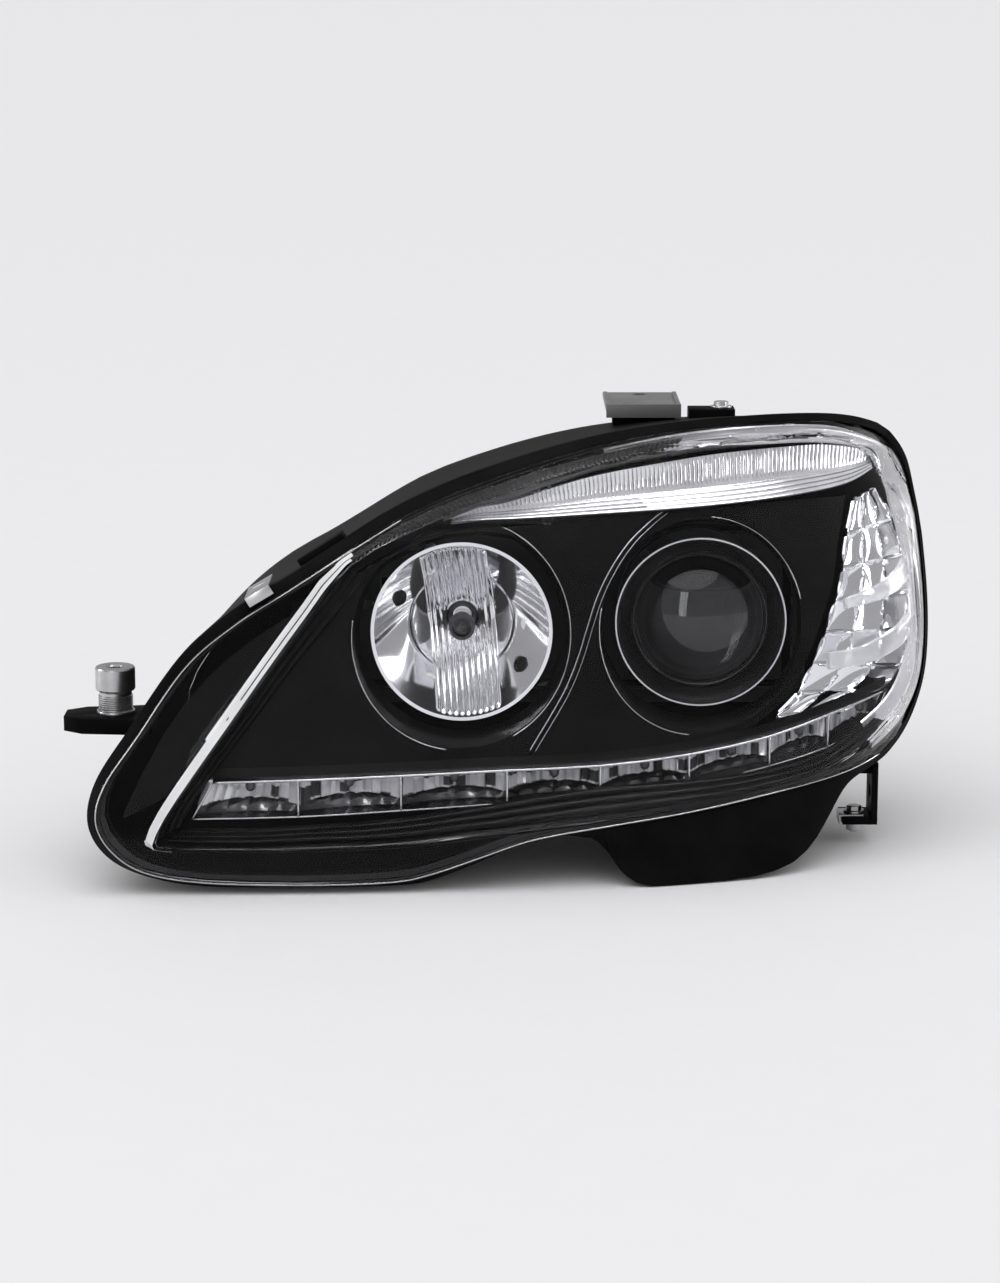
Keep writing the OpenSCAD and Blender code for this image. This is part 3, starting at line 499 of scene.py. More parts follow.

# %% [markdown]
# The clear cover is a 3 mm sheet whose outer and inner faces are both snapped. Its window is raised in a
# step, and the tall inboard part of that step shines white where light pipes through it, so those faces get
# an opaque whitish finish: a painted highlight.

# %% Cover
COVER_WALL = 3.0
STEP_DEEP = 8.5  # the faces of the step end this far behind the front
cover = rounded("cover_lens", angle=30, crease=0.95, levels=3)
print("snapped", snap(cover, 0, facing=-1), snap(cover, 0, COVER_WALL, facing=1))
alone(cover)
bpy.ops.object.shade_smooth_by_angle(angle=math.radians(34))
cover.data.materials.clear()
cover.data.materials.append(looks["clear_cover"])
cover.data.materials.append(step_painted_highlight)
# The tall inboard faces of the step get the whitish finish: a painted highlight.
for face in cover.data.polygons:
    c = face.center / MM
    drop = c[1] - front_y(c[0], c[2])
    step = abs(face.normal.y) < 0.75 and -0.3 < drop < STEP_DEEP
    if step and c[0] < -86 and face.normal.x < 0 and (c[2] > 37 or c[0] < -186):
        face.material_index = 1
place(cover, "cover_shell", "housing", "clear_cover", "cover_lens")

# %% [markdown]
# Many pieces behind the cover follow a curved line across the front. Such a line is given as a few
# points, made smooth by a spline, and divided evenly. A sheet is then a grid whose points are moved to their
# places.

# %% Lines and sheets
def spline(points, k):
    """A smooth line through the points, k steps between neighbours."""
    q = np.asarray(points, float)
    q = np.concatenate([q[:1], q, q[-1:]])
    t = (np.arange(k) / k)[None, :, None]
    a, b, c, d = (q[i : len(q) - 3 + i][:, None] for i in range(4))
    s = 0.5 * (2 * b + (c - a) * t + (2 * a - 5 * b + 4 * c - d) * t**2 + (3 * b - a - 3 * c + d) * t**3)
    return np.concatenate([s.reshape(-1, q.shape[1]), q[-1:]])


def resample(line, n):
    """The same line with n evenly spaced points."""
    line = np.asarray(line, float)
    run = np.concatenate([[0], np.cumsum(np.linalg.norm(np.diff(line, axis=0), axis=1))])
    s = np.linspace(0, run[-1], n)
    return np.stack([np.interp(s, run, line[:, i]) for i in range(line.shape[1])], -1)


def sheet_piece(points, thick=1.5, shade=None):
    """A sheet through a grid of points in millimetres, thickened backwards. Shade is kept on it as painted
    light.
    """
    points = np.asarray(points, float) * MM
    rows, columns = points.shape[:2]
    bpy.ops.object.select_all(action="DESELECT")
    bpy.ops.mesh.primitive_grid_add(x_subdivisions=columns - 1, y_subdivisions=rows - 1, size=1)
    piece = bpy.context.object
    piece.data.vertices.foreach_set("co", points.reshape(-1, 3).astype(np.float32).ravel())
    piece.data.update()
    if shade is not None:
        painted_light_and_shade = piece.data.attributes.new("painted_light_and_shade", "FLOAT", "POINT")
        painted_light_and_shade.data.foreach_set("value", shade.astype(np.float32).ravel())
    if sum(f.normal.y * f.area for f in piece.data.polygons) > 0:
        edit(piece, lambda: bpy.ops.mesh.flip_normals())
    apply(piece, "SOLIDIFY", thickness=thick * MM, offset=-1)
    alone(piece)
    bpy.ops.object.shade_smooth_by_angle(angle=math.radians(30))
    return piece


print("a spline through 3 points has", len(spline([[0, 0], [1, 1], [2, 0]], 6)), "points")

# %% [markdown]
# Between the bezel and the edge of the window runs a black border with three fine ridges. It is a sheet that
# starts on a line near the window's edge and runs towards the middle, with the ridges in its depth.

# %% Border strips
MIDDLE = np.array([40.0, 140.0])
RIDGES, RIDGE_HIGH = 3, 1.6
BORDER_ROWS = 25


def inwards(line):
    """Unit steps from each point of a line towards the middle of the window."""
    steps = MIDDLE - line
    return steps / np.linalg.norm(steps, axis=1, keepdims=True)


def border(line, width, back, lean, columns):
    """A ridged band from a line of x, z points towards the middle of the window."""
    line = resample(line, columns)
    towards = inwards(line)
    u = np.linspace(0, 1, BORDER_ROWS)[:, None]
    x = line[:, 0] + towards[:, 0] * width * u
    z = line[:, 1] + towards[:, 1] * width * u
    wave = RIDGE_HIGH * np.abs(np.sin(math.pi * u * RIDGES))
    return behind(x, z, back + lean * u - wave + 0 * x)


left_edge = spline([[-92, 178], [-111, 152], [-133, 123.5], [-153, 95], [-173.5, 67], [-188, 46], [-194, 33]],
                   6)
low_edge = spline([[-190, 31.5], [-150, 30.5], [-114, 31.5], [-72, 32.5], [-22, 36.5], [24, 40.5], [58, 43.5],
                   [96, 46.5], [140, 50.5], [184, 57.5], [206, 66.5], [224, 80]], 6)
piece = sheet_piece(border(left_edge, width=15, back=9, lean=8, columns=120), 1.2)
place(piece, "border_inboard", "housing", "bezel_black")
piece = sheet_piece(border(low_edge, width=13, back=8, lean=7, columns=240), 1.2)
place(piece, "border_lower", "housing", "bezel_black")

# %% [markdown]
# Moulded black plastic shows its rounded edges as thin bright lines where light catches them. The mouths of
# the two funnels, the crease that parts the bezels and the flange of the cover each get such a line as a
# bright metal wire that lies on the edge: a painted highlight.

# %% Edge highlights
HIGH = (-24.0, 140.0)  # centre of the high-beam bowl
BEAM = (114.0, 141.0)  # centre of the projector


def wire(points, radius):
    """A round wire along points in millimetres, as a mesh."""
    curve = bpy.data.curves.new("wire", "CURVE")
    curve.dimensions = "3D"
    line = curve.splines.new("POLY")
    line.points.add(len(points) - 1)
    for point, p in zip(line.points, points):
        point.co = (*(np.asarray(p) * MM), 1)
    curve.bevel_depth = radius * MM
    curve.bevel_resolution = 3
    curve.use_fill_caps = True
    piece = bpy.data.objects.new("wire", curve)
    bpy.context.scene.collection.objects.link(piece)
    alone(piece)
    bpy.ops.object.convert(target="MESH")
    piece = bpy.context.object
    edit(piece, lambda: bpy.ops.mesh.remove_doubles(threshold=1e-6),
         lambda: bpy.ops.mesh.normals_make_consistent(inside=False))
    bpy.ops.object.shade_smooth()
    return piece


def joined(pieces):
    """Joins pieces into one object."""
    bpy.ops.object.select_all(action="DESELECT")
    for piece in pieces:
        piece.select_set(True)
    bpy.context.view_layer.objects.active = pieces[0]
    if len(pieces) > 1:
        bpy.ops.object.join()
    return bpy.context.object


def mouth(centre, radius, start, stop):
    """A bright wire on part of a funnel's mouth, between two angles in degrees: a painted highlight."""
    a = np.radians(np.linspace(start, stop, 60))
    x, z = centre[0] + radius * np.cos(a), centre[1] + radius * np.sin(a)
    return wire(behind(x, z, 19.8), 0.28)


CREASE = spline([[92, 204], [84, 198.5], [72, 188], [62, 175], [53.8, 160], [48, 144], [42, 126], [33.5, 107],
                 [18, 82], [15, 77]], 6)
highlight_wires = [mouth(HIGH, 62.3, -62, 68), mouth(HIGH, 62.3, 172, 262), mouth(BEAM, 59.3, 12, 84),
         mouth(BEAM, 59.3, 168, 262), wire(behind(CREASE[:, 0], CREASE[:, 1], 19.6), 0.35),
         wire(behind(CREASE[:, 0] + 3, CREASE[:, 1] - 0.8, 19.7), 0.2)]
for highlight_wire in highlight_wires:
    highlight_wire.data.materials.append(looks["bright_ring"])
place(joined(highlight_wires), "bezel_edge_painted_highlights", "housing", "bright_ring")

# The flange wire is a painted highlight along the edge of the cover.
FLANGE = spline([[-59, 204.5], [-94, 184], [-122, 167], [-152, 149], [-180, 126], [-207, 88], [-225, 62],
                 [-230, 42], [-221, 25], [-203, 13], [-170, 7], [-115, 5.2], [-65, 6], [-42, 10], [-14, 19],
                 [10, 27], [30, 31], [66, 35.5], [105, 40], [155, 47], [200, 53], [222, 58]], 8)
line = FLANGE + inwards(FLANGE) * 0.8
highlight_wire = wire(behind(line[:, 0], line[:, 1], 7.9), 0.42)
place(highlight_wire, "flange_painted_highlight", "housing", "bright_ring")

# %% [markdown]
# Along the top edge a dark band carries fine cross teeth, the kind moulded to hide a glue line. The teeth are
# in the depth of the sheet, eight points to a tooth. Above the indicator a smooth dark-grey blade fills the
# gap.

# %% Top band and blade
BAND_COLUMNS = 560
TOOTH_DEEP = 0.55
top_edge = resample(spline([[-88, 184], [-58, 201], [-20, 216.5], [30, 231.5], [80, 241.5], [104, 244.5]], 8),
                    BAND_COLUMNS)
towards = inwards(top_edge)
run = np.linspace(0, 1, BAND_COLUMNS) * 140 * math.pi
u = np.linspace(0, 1, 5)[:, None]
teeth = TOOTH_DEEP * np.sign(np.sin(run)) * np.abs(np.sin(run)) ** 0.5
band = behind(top_edge[:, 0] + towards[:, 0] * 4.5 * u, top_edge[:, 1] + towards[:, 1] * 4.5 * u,
              6 + 2 * u + teeth)
place(sheet_piece(band, 1.0), "top_band_teeth", "housing", "trim_grey")

trim = rounded("upper_trim", angle=40, crease=0.8)
place(trim, "upper_trim_blade", "housing", "trim_grey", "upper_trim")

# %% [markdown]
# Outboard of the mirrors a pale liner closes the space up to the rim. It is a sheet between two smooth lines
# that bulges 5 mm back between them, so it catches a soft gradient of light.

# %% Wing liner
LINER_COLUMNS = 160
outer_line = resample(spline([[58, 238.5], [96, 244.8], [140, 247.5], [184, 245.5], [211, 238.5], [231, 227],
                              [242, 213], [246, 189], [247, 163], [248, 139], [248, 116], [245, 93],
                              [234, 76], [216, 64]], 8), LINER_COLUMNS)
inner_line = resample(spline([[58, 238], [96, 240.5], [140, 239.5], [180, 238], [207, 233], [222, 226.5],
                              [226, 210], [232, 189], [237, 168], [239, 150], [238, 125], [231, 104],
                              [222, 92], [208, 82]], 8), LINER_COLUMNS)
u = np.linspace(0, 1, 9)[:, None, None]
grid = outer_line * (1 - u) + inner_line * u
liner = behind(grid[..., 0], grid[..., 1], 9 + 5 * np.sin(math.pi * u[..., 0]))
piece = sheet_piece(liner, 1.2)
piece.data.materials.append(liner_silver)
place(piece, "wing_liner", "housing", "reflector_chrome")

# %% [markdown]
# The indicator is a long tapering trough behind fine upright flutes, over a smooth ledge with a few level
# lines. The flutes are in the depth of the sheet, six columns to a flute, so they bend the reflections as
# real ones do.

# %% Indicator
TURN = (92.0, 213.5)  # centre of the indicator bulb


def turned(centre, profile, steps=128):
    """A round piece about an axis along Y: a circle is drawn out ring by ring along the profile."""
    cx, cz = centre[0] * MM, centre[1] * MM
    r0, y0 = profile[0]
    bpy.ops.object.select_all(action="DESELECT")
    bpy.ops.mesh.primitive_circle_add(vertices=steps, radius=max(r0, 0.01) * MM, location=(cx, y0 * MM, cz),
                                      rotation=(math.pi / 2, 0, 0))
    piece = bpy.context.object
    bpy.ops.object.mode_set(mode="EDIT")
    bpy.ops.mesh.select_all(action="SELECT")
    r, y = max(r0, 0.01), y0
    for r1, y1 in profile[1:]:
        r1 = max(r1, 0.01)
        bpy.ops.mesh.extrude_edges_move()
        bpy.ops.transform.resize(value=(r1 / r, 1, r1 / r), center_override=(cx, y * MM, cz))
        bpy.ops.transform.translate(value=(0, (y1 - y) * MM, 0))
        r, y = r1, y1
    bpy.ops.mesh.select_all(action="SELECT")
    bpy.ops.mesh.remove_doubles(threshold=3e-5)
    bpy.ops.mesh.normals_make_consistent(inside=False)
    bpy.ops.object.mode_set(mode="OBJECT")
    bpy.ops.object.shade_smooth_by_angle(angle=math.radians(32))
    return piece


TURN_TOP = [[-30, 203], [-15, 208], [4, 212], [49, 224], [96, 231], [134, 234.5], [180, 235], [208, 231],
            [221, 225.5]]
TURN_STEP = [[-29, 202.4], [-13, 206], [6, 207.5], [50, 211.5], [97, 214.5], [135, 216.5], [177, 219],
             [206, 220.5], [220.5, 221.5]]
TURN_LOW = [[-30, 201.5], [-10, 202.5], [12, 203], [56, 204.5], [100, 206], [134, 207.5], [174, 210],
            [203, 213], [220, 218]]
COLUMNS = 620
top, step, low = (resample(spline(q, 8), COLUMNS) for q in (TURN_TOP, TURN_STEP, TURN_LOW))
u = np.linspace(0, 1, 13)[:, None, None]
face = top * (1 - u) + step * u
wave = np.abs(np.sin(np.linspace(0, 100 * math.pi, COLUMNS)))
FLUTE_DEEP = 0.75
fade = np.sin(math.pi * np.clip(u[..., 0] * 1.1 + 0.02, 0, 1)) ** 0.35
upper = behind(face[..., 0], face[..., 1],
               15 + 7 * np.sin(math.pi * u[..., 0] * 0.5) - FLUTE_DEEP * wave * fade)
u = np.linspace(0, 1, 17)[:, None, None]
face = step * (1 - u) + low * u
lines = 0.5 * np.abs(np.sin(4 * math.pi * u[..., 0]))
lower = behind(face[..., 0], face[..., 1], 22 - 6.5 * u[..., 0] - lines)
# Shade paints the grooves between the flutes and the level lines of the ledge dark: painted shade.
shade = np.concatenate([1 - (1 - wave) ** 3 * fade, 1 - 0.8 * (1 - 2 * lines[1:]) ** 6 + 0 * wave[None, :]])
indicator = sheet_piece(np.concatenate([upper, lower[1:]]), 1.5, shade)
tube = turned(TURN, [(12, -8), (13.8, -8), (13.8, 45), (12, 45), (12, -8)], 96)
tube.data.materials.append(looks["reflector_chrome"])
indicator.data.materials.append(fluted)
place(joined([indicator, tube]), "indicator_fluted", "housing", "reflector_chrome", "indicator_reflector")

# %% [markdown]
# The side mirror has tall soft facets. Each facet is a shallow pillow, and the joints between them are sharp,
# so it breaks its reflections into bright and dark patches.

# %% Side mirror
SIDE_IN = [[207, 203], [201, 183], [197, 160], [192, 147], [184, 127], [171, 103], [157, 89]]
SIDE_OUT = [[221, 208], [231, 188], [237, 168], [239, 150], [238, 125], [230, 104], [198, 90]]
inside, outside = resample(spline(SIDE_IN, 8), 113), resample(spline(SIDE_OUT, 8), 113)
u = np.linspace(0, 1, 49)[:, None, None]
grid = inside * (1 - u) + outside * u
rows, columns = np.linspace(0, 3, 49)[:, None], np.linspace(0, 7, 113)[None, :]  # counted in facets
pillow = 3.2 * np.abs(np.sin(math.pi * rows)) ** 0.7 * np.abs(np.sin(math.pi * columns)) ** 0.5
tilt = 2.2 * ((columns % 1) - 0.5) * np.where(np.floor(rows) % 2 == 0, 1, -1)
mirror = behind(grid[..., 0], grid[..., 1],
                20 + 8 * u[..., 0] * (1 - u[..., 0]) + pillow + tilt - 3 * u[..., 0])
place(sheet_piece(mirror, 1.5), "side_mirror", "housing", "reflector_chrome", "side_reflector")

# %% [markdown]
# Two clear light bars cross the side mirror. They are rounded copies with a soft crease, as moulded clear
# plastic has no sharp edge.

# %% Light bars
for node in ("upper_light_guide", "lower_light_guide"):
    piece = rounded(node, angle=40, crease=0.45, levels=3)
    place(piece, node + "_bar", "housing", "light_guide", node)

# %% [markdown]
# The daytime lamp is a row of eight small chambers. The upper part of each is a fan of upright mirror facets,
# and an arch divides it from a dark bowl below. Each chamber is one sheet, with its facets and its bowl in
# its depth.

# %% Daytime row
ROW_TOP = spline([[-164, 62], [-116, 63], [-58, 65], [2, 67], [55, 68], [106, 72], [153, 79], [188, 88],
                  [224, 97]], 2)
ROW_LOW = spline([[-176, 41], [-116, 42], [-58, 45], [2, 48], [55, 50], [106, 54], [153, 61], [188, 68],
                  [216, 77]], 2)
ACROSS, DOWN = 61, 33
ROOM = [16, 20, 22, 22, 22, 22, 20, 18, 12]  # depth at each wall between chambers
ARCH_TOP, ARCH_DROP = 0.56, 0.26  # height of the arch at the middle, and how far its feet reach lower
FACETS = 5  # on each side of a chamber's middle
chambers = []
for cell in range(8):
    a = resample(ROW_TOP[2 * cell : 2 * cell + 3], ACROSS)
    b = resample(ROW_LOW[2 * cell : 2 * cell + 3], ACROSS)
    if cell == 0:
        a[:, 0] = np.linspace(-168, a[-1, 0], ACROSS)
    v = np.linspace(0, 1, DOWN)[:, None]
    s = np.linspace(-1, 1, ACROSS)[None, :]
    arch = ARCH_TOP + ARCH_DROP * s**2
    upper = v < arch
    room = ROOM[cell] * (1 - s) / 2 + ROOM[cell + 1] * (1 + s) / 2
    facet = np.floor(np.abs(s) * FACETS)
    fan = np.abs((np.abs(s) * FACETS) % 1 - 0.5) * 3.6 + 1.5 * (facet % 2)
    cup = 0.42 * room * np.sqrt(np.clip(1 - ((v - 0.8) / 0.62) ** 2, 0, 1))
    cup = cup * np.sqrt(np.clip(1 - s**2 * 0.9, 0, 1))
    ribs = 1.3 * np.abs(np.sin(2.5 * math.pi * s)) * np.abs(np.sin(2 * math.pi * v))
    depth = np.where(upper, room * (0.72 - 0.2 * v / arch) + fan, 0.3 * room + cup + ribs)
    step = np.floor(v / arch * 2.2)
    # Tone paints the upper facets bright or dark at random, as painted reflections, and the bowl dark with
    # painted glints.
    chance = np.abs(np.sin(facet * 12.9 + np.sign(s) * 4.1 + step * 7.7 + cell * 3.3) * 437.5) % 1
    glint = np.exp(-(((np.abs(s) - 0.28) / 0.1) ** 2) - ((v - 0.86) / 0.08) ** 2)
    glint = glint + 0.5 * np.exp(-((s / 0.9) ** 2))
    painted_light_tone = np.where(upper, np.where(chance < 0.3, 0.05, 0.5 + 0.5 * chance), 0.25 * glint)
    depth = np.where(v < 0.02, 1.0, depth)
    depth = np.where(v > 0.97, 1.5, depth)
    x = a[:, 0] * (1 - v) + b[:, 0] * v
    z = a[:, 1] * (1 - v) + b[:, 1] * v
    points = behind(x, z, 16.5 + 3.5 * v + depth)
    piece = sheet_piece(points, 1.0, painted_light_tone + 0 * x)
    piece.data.materials.append(fan_silver)
    piece.data.materials.append(bowl_painted_reflection)
    mid_x = (x.min() + x.max()) / 2
    half = (x.max() - x.min()) / 2
    for face in piece.data.polygons:
        c = face.center / MM
        k = np.clip((c[0] - mid_x) / half, -1, 1)
        roof = np.interp(c[0], a[:, 0], a[:, 1])
        base = np.interp(c[0], b[:, 0], b[:, 1])
        if (roof - c[2]) / max(roof - base, 1) > ARCH_TOP + ARCH_DROP * k**2:
            face.material_index = 1
    chambers.append(piece)
place(joined(chambers), "daytime_mirrors", "housing", "reflector_chrome", "drl_reflector")

# %% [markdown]
# A black lip shades the row from above. Thin bright strips frame it and stand between the chambers, and a
# smoky dome hangs from each roof.

# %% Frame of the daytime row
roof = resample(ROW_TOP, 120)
u = np.linspace(0, 1, 7)[:, None]
lip = behind(roof[:, 0] + 0 * u, roof[:, 1] + 1.0 + 6.0 * u, 15.4 + 3.6 * u**0.6)
place(sheet_piece(lip, 0.8), "daytime_roof", "housing", "bezel_black")
frame_wires = []
for line, back, radius in ((ROW_TOP, 15.5, 0.75), (ROW_LOW, 19.0, 0.45)):
    q = resample(line, 90)
    frame_wires.append(wire(behind(q[:, 0], q[:, 1], back), radius))
for i in range(0, 17, 2):
    t = np.linspace(0, 1, 6)
    x = ROW_TOP[i, 0] * (1 - t) + ROW_LOW[i, 0] * t
    z = ROW_TOP[i, 1] * (1 - t) + ROW_LOW[i, 1] * t
    frame_wires.append(wire(behind(x, z, 15.5 + 3.5 * t), 0.65))
place(joined(frame_wires), "daytime_frame", "housing", "bright_ring")
softened("drl_leds", 0.15, 50)

# %% [markdown]
# The high-beam bowl is turned from its parabola in fine rings, then its middle band gets upright flutes by
# moving points in depth. Round the bulb the bowl has a shallow raised dome.

# %% High-beam bowl
BOWL_RIM = -86
BOWL_R, BOWL_DEEP = 50.0, 46.0
BAND_HALF = 19  # half the width of the fluted band
FLUTE_PITCH = 3.5
DOME_R = 31
focus = BOWL_R**2 / 4 / BOWL_DEEP
radii = np.linspace(BOWL_R, 9.2, 56)
profile = [(BOWL_R + 2, BOWL_RIM + 2), (BOWL_R + 2, BOWL_RIM)]
profile += [(r, BOWL_RIM + BOWL_DEEP - r * r / 4 / focus) for r in radii]
bowl = turned(HIGH, profile, 420)
alone(bowl)
bpy.ops.object.transform_apply(location=True, rotation=True, scale=True)
p = points_of(bowl)
dx, dz = p[:, 0] - HIGH[0], p[:, 2] - HIGH[1]
r = np.hypot(dx, dz)
slant = dx + 0.10 * dz
inside_rim, outside_bulb = np.clip((BOWL_R - 0.8 - r) / 2, 0, 1), np.clip((r - 10) / 3, 0, 1)
edge = np.clip((BAND_HALF - np.abs(slant)) / 1.5, 0, 1) * inside_rim * outside_bulb
uneven = 1 + 0.3 * np.sin(dz * 0.35 + slant)
p[:, 1] += edge * (0.8 * np.sin(slant * 2 * math.pi / FLUTE_PITCH) * uneven - 0.9)
dome = np.clip((DOME_R - r) / 2.0, 0, 1) * np.clip((r - 12) / 2, 0, 1)
p[:, 1] += 1.6 * dome * (1 - edge)
move_points(bowl, p)
apply(bowl, "SOLIDIFY", thickness=1.6 * MM, offset=-1)
bowl.data.materials.append(looks["reflector_chrome"])
bowl_parts = [bowl]
for angle in (0, 120, 240):
    c = (HIGH[0] + 38 * math.cos(math.radians(angle)), HIGH[1] + 38 * math.sin(math.radians(angle)))
    bowl_parts.append(turned(c, [(0, -64), (3.7, -64), (4, -63.7), (4, -4.3), (3.7, -4.02), (0, -4.02)], 32))
bowl_parts.append(turned(HIGH, [(9.6, -40.5), (17, -40.5), (17, -37), (9.6, -37), (9.6, -40.5)], 96))
place(joined(bowl_parts), "high_bowl", "beam_carrier", "reflector_chrome", "high_reflector")

# %% [markdown]
# Two dark round fixings sit in the bowl. The bulb is a clear envelope in its steel base, with a wire clip
# behind.

# %% Fixings and high-beam bulb
fixings = []
for dx, dz in ((-37, 17), (35, -23)):
    r = math.hypot(dx, dz)
    y = BOWL_RIM + BOWL_DEEP - r * r / 4 / focus
    plug = [(0, y - 1.5), (3, y - 1.5), (5.2, y + 1.0), (5.2, y + 9), (0, y + 9)]
    fixings.append(turned((HIGH[0] + dx, HIGH[1] + dz), plug, 48))
place(joined(fixings), "bowl_fixings", "beam_carrier", "shroud_black")
softened("high_bulb_base", 0.25, 40).data.materials[0] = looks["shade_steel"]
glass = turned(HIGH, [(0, -72), (2, -71.7), (3.6, -70.6), (4.9, -69), (5.5, -66.5), (5.5, -38.05),
                      (0, -38.05)], 64)
place(glass, "high_bulb_envelope", "beam_carrier", "bulb_glass", "high_bulb_glass")
softened("high_bulb_clip", 0.1, 60)

# %% [markdown]
# The projector is a thick plano-convex lens in a thin bright ring, with a dark flared shroud round it. The
# dome is an arc turned in fine rings, so the glass bends the dark inside of the lamp smoothly.

# %% Projector
DOME_EDGE, BULGE = 36.6, 19.0  # radius of the glass dome at its edge, and its height
FLANGE_FRONT = -50.1
big = (DOME_EDGE**2 + BULGE**2) / 2 / BULGE
radii = DOME_EDGE * np.sin(np.linspace(0, math.pi / 2, 28))
arc = [(q, FLANGE_FRONT - BULGE + big - math.sqrt(big**2 - q * q)) for q in radii]
lens = turned(BEAM, [(0, -47)] + [(38, -47), (38, FLANGE_FRONT)] + arc[::-1], 192)
place(lens, "projector_glass", "beam_carrier", "lens_glass", "projector_lens")
ring = turned(BEAM, [(36.9, -53.2), (37.3, -53.5), (40.0, -53.5), (40.5, -53.0), (40.5, -47), (38.2, -47),
                     (38.2, -50.1), (36.9, -50.1), (36.9, -53.2)], 192)
place(ring, "lens_ring", "beam_carrier", "shroud_black", "lens_retainer")
fine_ring = turned(BEAM, [(38.5, -53.5), (38.9, -53.9), (39.3, -53.5), (38.9, -53.3), (38.5, -53.5)], 192)
place(fine_ring, "lens_ring_bright_line", "beam_carrier", "bright_ring")
shroud = turned(BEAM, [(40.8, -44), (42.8, -44), (42.8, -53), (46, -58), (49, -62), (49.3, -62.5),
                       (49, -63.2), (48.2, -63.5), (46.5, -62.4), (43.4, -58.8), (40.8, -55), (40.8, -44)],
                       192)
place(shroud, "lens_shroud", "beam_carrier", "shroud_black", "projector_shroud")
rim_ring = turned(BEAM, [(48.6, -63.6), (49.5, -63.6), (49.7, -62.9), (49.2, -62.4), (48.4, -63.0),
                         (48.6, -63.6)], 192)
place(rim_ring, "shroud_bright_rim", "beam_carrier", "bright_ring")

# %% [markdown]
# Behind the lens sit the barrel, the shade that cuts the beam, the small reflector and the bulb. They are
# softened copies. The reflector is a mirror painted dark, a painted shade, because the real lens looks dark
# when the lamp is off.

# %% Inside the projector
for node in ("projector_barrel", "projector_shade", "projector_reflector", "low_bulb_base"):
    piece = softened(node, 0.25, 45)
    if node == "projector_reflector":
        piece.data.materials[0] = reflector_painted_shade
glass = turned(BEAM, [(0, 10), (2, 10.3), (3.6, 11.4), (4.9, 13), (5.5, 15.5), (5.5, 43.9), (0, 43.9)], 64)
place(glass, "low_bulb_envelope", "beam_carrier", "bulb_glass", "low_bulb_glass")
softened("low_bulb_clip", 0.1, 60)

# %% [markdown]
# The steel sleeve in the ear turns to set the height of the lamp. Its thread is drawn as close rings on the
# turned profile, and its wide head has a rounded lip round the open bore.

# %% Ear sleeve
SLEEVE = Vector((-0.2245, -0.070, 0))
THREAD_TOP, THREAD_PITCH = 100, 1.25
rings = [(4.3, 81.5), (7.4, 81.5), (8.0, 82.1), (8.0, 91.15), (9.8, 91.15), (10.0, 91.5)]
z = 91.9
while z < THREAD_TOP:
    rings += [(10.0, z), (10.0, z + 0.3), (9.3, z + 0.7), (9.3, z + 0.8)]
    z += THREAD_PITCH
rings += [(9.4, 101.0), (9.4, 101.8), (9.9, 102.5), (11.0, 103.0), (11.5, 103.7), (11.5, 115.6),
          (11.1, 116.4), (10.4, 116.7), (5.9, 116.7), (5.0, 116.3), (4.3, 115.4), (4.3, 81.5)]
bpy.ops.object.select_all(action="DESELECT")
bpy.ops.mesh.primitive_circle_add(vertices=72, radius=rings[0][0] * MM,
                                  location=(SLEEVE.x, SLEEVE.y, rings[0][1] * MM))
sleeve = bpy.context.object
bpy.ops.object.mode_set(mode="EDIT")
bpy.ops.mesh.select_all(action="SELECT")
for (r0, z0), (r1, z1) in zip(rings, rings[1:]):
    bpy.ops.mesh.extrude_edges_move()
    bpy.ops.transform.resize(value=(r1 / r0, r1 / r0, 1), center_override=(SLEEVE.x, SLEEVE.y, z0 * MM))
    bpy.ops.transform.translate(value=(0, 0, (z1 - z0) * MM))
bpy.ops.mesh.select_all(action="SELECT")
bpy.ops.mesh.remove_doubles(threshold=1e-5)
bpy.ops.mesh.normals_make_consistent(inside=False)
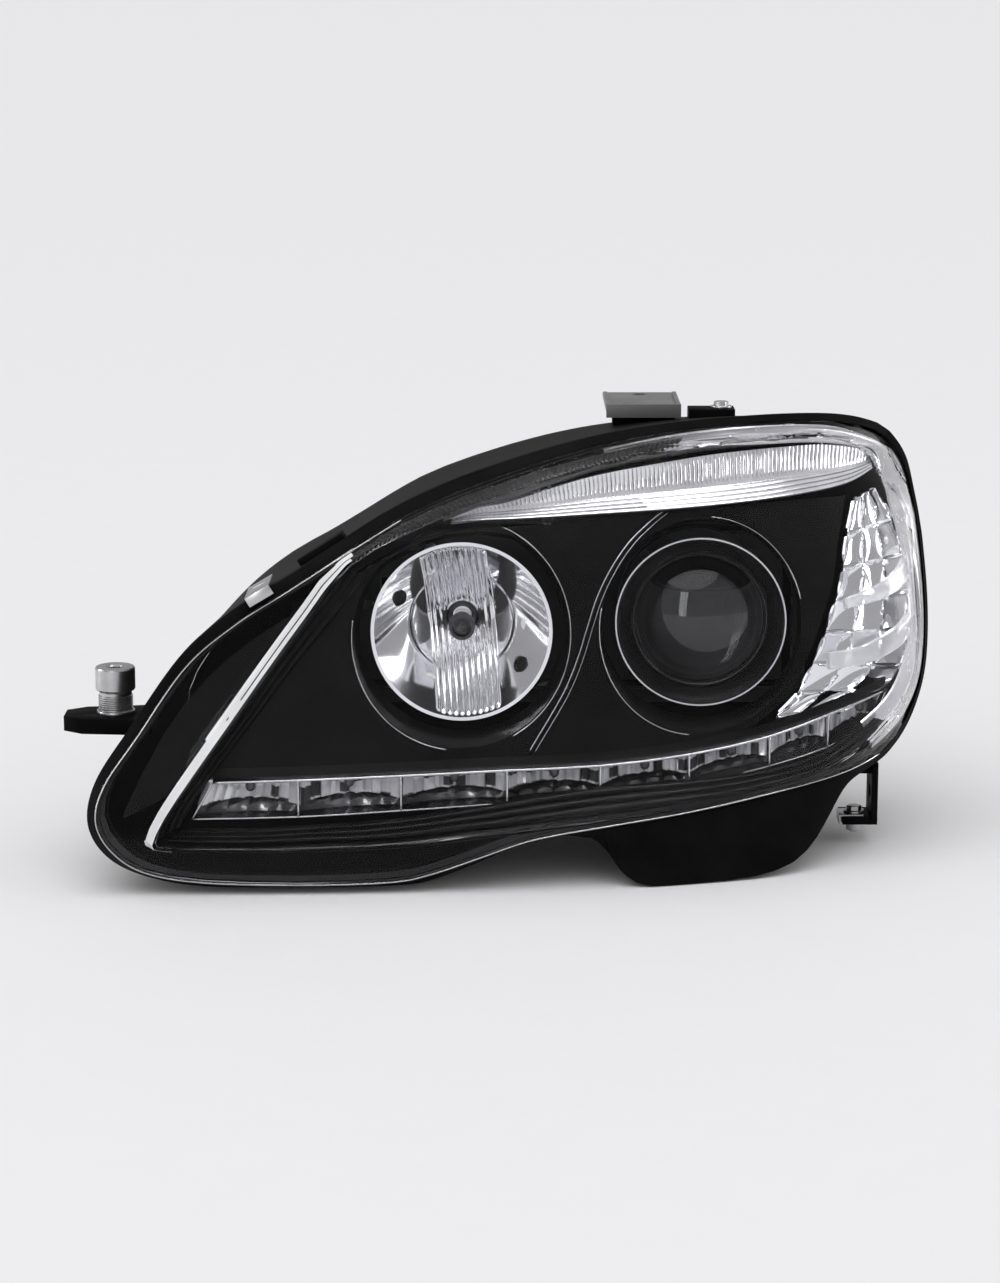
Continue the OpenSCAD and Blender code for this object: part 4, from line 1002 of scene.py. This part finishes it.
bpy.ops.object.mode_set(mode="OBJECT")
bpy.ops.object.shade_smooth_by_angle(angle=math.radians(25))
place(sleeve, "threaded_sleeve", "mount_sleeve", "zinc_steel", "mount_sleeve")

# %% [markdown]
# The remaining parts are machined or moulded solids whose shape is already right. Each gets a narrow bevel,
# so its edges are no longer razor sharp, and keeps its own body and finish. Screws that reach in among the
# lamps are painted dark at their inner end, a painted shade, so they don't shine through the gaps between the
# bezels.

# %% Softened parts
BACK_WALL = 0.080  # in metres, screws are dark in front of it
for node, width in {"inboard_ear": 0.9, "housing_pads": 0.8, "housing_back": 0.5, "levelling_motor": 0.8,
                    "motor_screws": 0.25, "main_connector": 0.4, "breather_caps": 0.5, "adjuster_bushes": 0.3,
                    "top_bracket": 0.6, "bracket_bolts": 0.3, "lower_bracket": 0.7, "spring_nut": 0.25,
                    "rim_clip": 0.3, "sleeve_washer": 0.25, "tilt_yoke": 0.5, "ball_socket": 0.3,
                    "tilt_nut": 0.3, "beam_carrier": 0.5, "aim_nut": 0.3, "carrier_screws": 0.2,
                    "motor_plunger": 0.2, "vertical_adjuster": 0.3, "horizontal_adjuster": 0.3,
                    "low_cap_seal": 0.3, "low_cap": 0.8, "high_cap_seal": 0.3, "high_cap": 0.8,
                    "indicator_gasket": 0.2, "indicator_holder": 0.4}.items():
    piece = softened(node, width)
    # The inner end of these screws gets dark steel: a painted shade.
    if node in ("vertical_adjuster", "horizontal_adjuster", "carrier_screws", "motor_plunger"):
        piece.data.materials.append(looks["shade_steel"])
        for face in piece.data.polygons:
            face.material_index = int(face.center.y < BACK_WALL)

# %% [markdown]
# The indicator bulb is an amber pear, turned in one profile from its tip to its foot.

# %% Indicator bulb
bulb = turned(TURN, [(0, -2), (3, -1.5), (6, 0), (9, 3), (10.8, 7), (11.5, 12), (10.8, 17), (9.2, 21),
                     (7.8, 24.5), (7.5, 27), (7.5, 35.95), (0, 35.95)], 64)
place(bulb, "indicator_bulb_glass", "indicator_holder", "amber_glass", "indicator_bulb")
